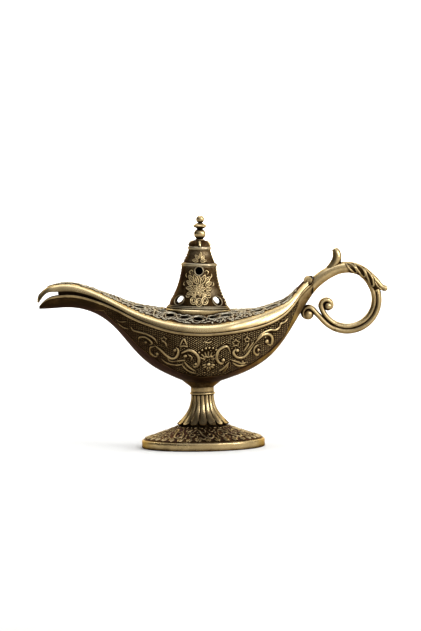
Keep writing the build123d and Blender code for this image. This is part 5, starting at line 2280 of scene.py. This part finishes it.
@dataclass
class Studio:
    """Pale sweep, soft lights and the camera, in metres."""

    floor: Place = (0.80, 0.80, 0.79)
    wall: float = 2.8
    side: float = 3.4
    sky_low: float = 0.035
    sky_high: float = 0.98
    sky_from: Place = (0.60, -0.28, 0.75)
    distance: float = 2.0
    elevation: float = 3.4
    target: Place = (0.00381, 0.0, 0.0525)
    roll: float = -1.1
    lens: float = 285.3

    def build(self) -> None:
        """Make the sweep, the lights and the camera."""
        self.sweep()
        for spot in (
            ("key", (0.55, -0.60, 0.62), 0.30, 3.4),
            ("strip", (0.62, -0.24, 0.28), 0.18, 1.8),
            ("top", (-0.10, 0.05, 0.95), 0.60, 3.0),
        ):
            self.lamp(*spot)
        self.sky()
        self.wall_wash()
        self.camera()
        bpy.context.scene.view_settings.view_transform = "Standard"

    def sweep(self) -> None:
        """A floor that curves up into a back wall."""
        paint, _, shader = blank_finish("sweep_paint")
        shader.inputs["Base Color"].default_value = (*self.floor, 1.0)
        shader.inputs["Roughness"].default_value = 0.9
        shader.inputs["Specular IOR Level"].default_value = 0.1
        bend, wall, side = 0.6, self.wall, self.side
        turns = np.linspace(0.1, 1.57, 16)
        profile = [(-side, 0.0), (wall - bend, 0.0)]
        profile += [(wall - bend + bend * math.sin(turn), bend - bend * math.cos(turn)) for turn in turns]
        profile.append((wall, side))
        points = [(x, y, z) for y, z in profile for x in (-side, side)]
        faces = [(row * 2, row * 2 + 1, row * 2 + 3, row * 2 + 2) for row in range(len(profile) - 1)]
        mesh = bpy.data.meshes.new("sweep")
        mesh.from_pydata(points, [], faces)
        mesh.shade_smooth()
        mesh.materials.append(paint)
        thing = put("sweep", mesh)

    def lamp(self, name: str, place: Place, size: float, power: float) -> None:
        """A square soft light that faces the lamp.

        Args:
            name: Its name.
            place: Where it stands.
            size: Its side.
            power: Its watts.
        """
        light = bpy.data.lights.new(name, "AREA")
        light.size, light.energy = size, power
        thing = put(name, light)
        thing.location = place
        thing.rotation_euler = (Vector(self.target) - Vector(place)).to_track_quat("-Z", "Y").to_euler()

    def sky(self) -> None:
        """A soft sky that is brightest above and to the right."""
        world = bpy.data.worlds.new("studio")
        bpy.context.scene.world = world
        world.use_nodes = True
        tree = world.node_tree
        facing = tree.nodes.new("ShaderNodeVectorMath")
        facing.operation = "DOT_PRODUCT"
        facing.inputs[1].default_value = self.sky_from
        tree.links.new(tree.nodes.new("ShaderNodeTexCoord").outputs["Generated"], facing.inputs[0])
        ramp = tree.nodes.new("ShaderNodeMapRange")
        ramp.interpolation_type = "SMOOTHSTEP"
        limits = {"From Min": -0.25, "From Max": 1.0, "To Min": self.sky_low, "To Max": self.sky_high}
        for name, value in limits.items():
            ramp.inputs[name].default_value = value
        tree.links.new(facing.outputs["Value"], ramp.inputs["Value"])
        tree.nodes["Background"].inputs["Color"].default_value = (1, 1, 1, 1)
        tree.links.new(ramp.outputs["Result"], tree.nodes["Background"].inputs["Strength"])

    def wall_wash(self) -> None:
        """A wide light behind the lamp that faces the back wall."""
        light = bpy.data.lights.new("wall_wash", "AREA")
        light.shape, light.size, light.size_y, light.energy = "RECTANGLE", 3.0, 1.6, 120.0
        thing = put("wall_wash", light)
        thing.location = (0.0, self.wall - 1.2, 1.6)
        thing.rotation_euler = (math.radians(40), 0.0, 0.0)

    def camera(self) -> None:
        """The camera, square to the lamp's side and a little above it."""
        view = bpy.data.cameras.new("view")
        view.lens, view.sensor_width = self.lens, 36.0
        thing = put("view", view)
        lift = math.radians(self.elevation)
        target = Vector(self.target)
        thing.location = target + self.distance * Vector((0, -math.cos(lift), math.sin(lift)))
        facing = (target - thing.location).to_track_quat("-Z", "Y").to_matrix().to_4x4()
        thing.rotation_euler = (facing @ Matrix.Rotation(math.radians(self.roll), 4, "Z")).to_euler()
        bpy.context.scene.camera = thing


def main() -> None:
    """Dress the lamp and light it."""
    logging.basicConfig(level=logging.INFO, format="%(message)s")
    Bowl().build(HULL_BRASS.build(), RELIEF_BRASS.build())
    Lid().build(BAND_BRASS.build(), CROWN_BRASS.build())
    Dome().build(DOME_BRASS.build(), BOUQUET_BRASS.build())
    Pedestal().build(FOOT_BRASS.build(), TUFT_BRASS.build())
    handle = HANDLE_BRASS.build()
    Handle().build(handle)
    Finial().build(handle)
    KeptPieces().dress(PIN_BRASS.build(), STEEL.build())
    Studio().build()


if __name__ == "__main__":
    main()
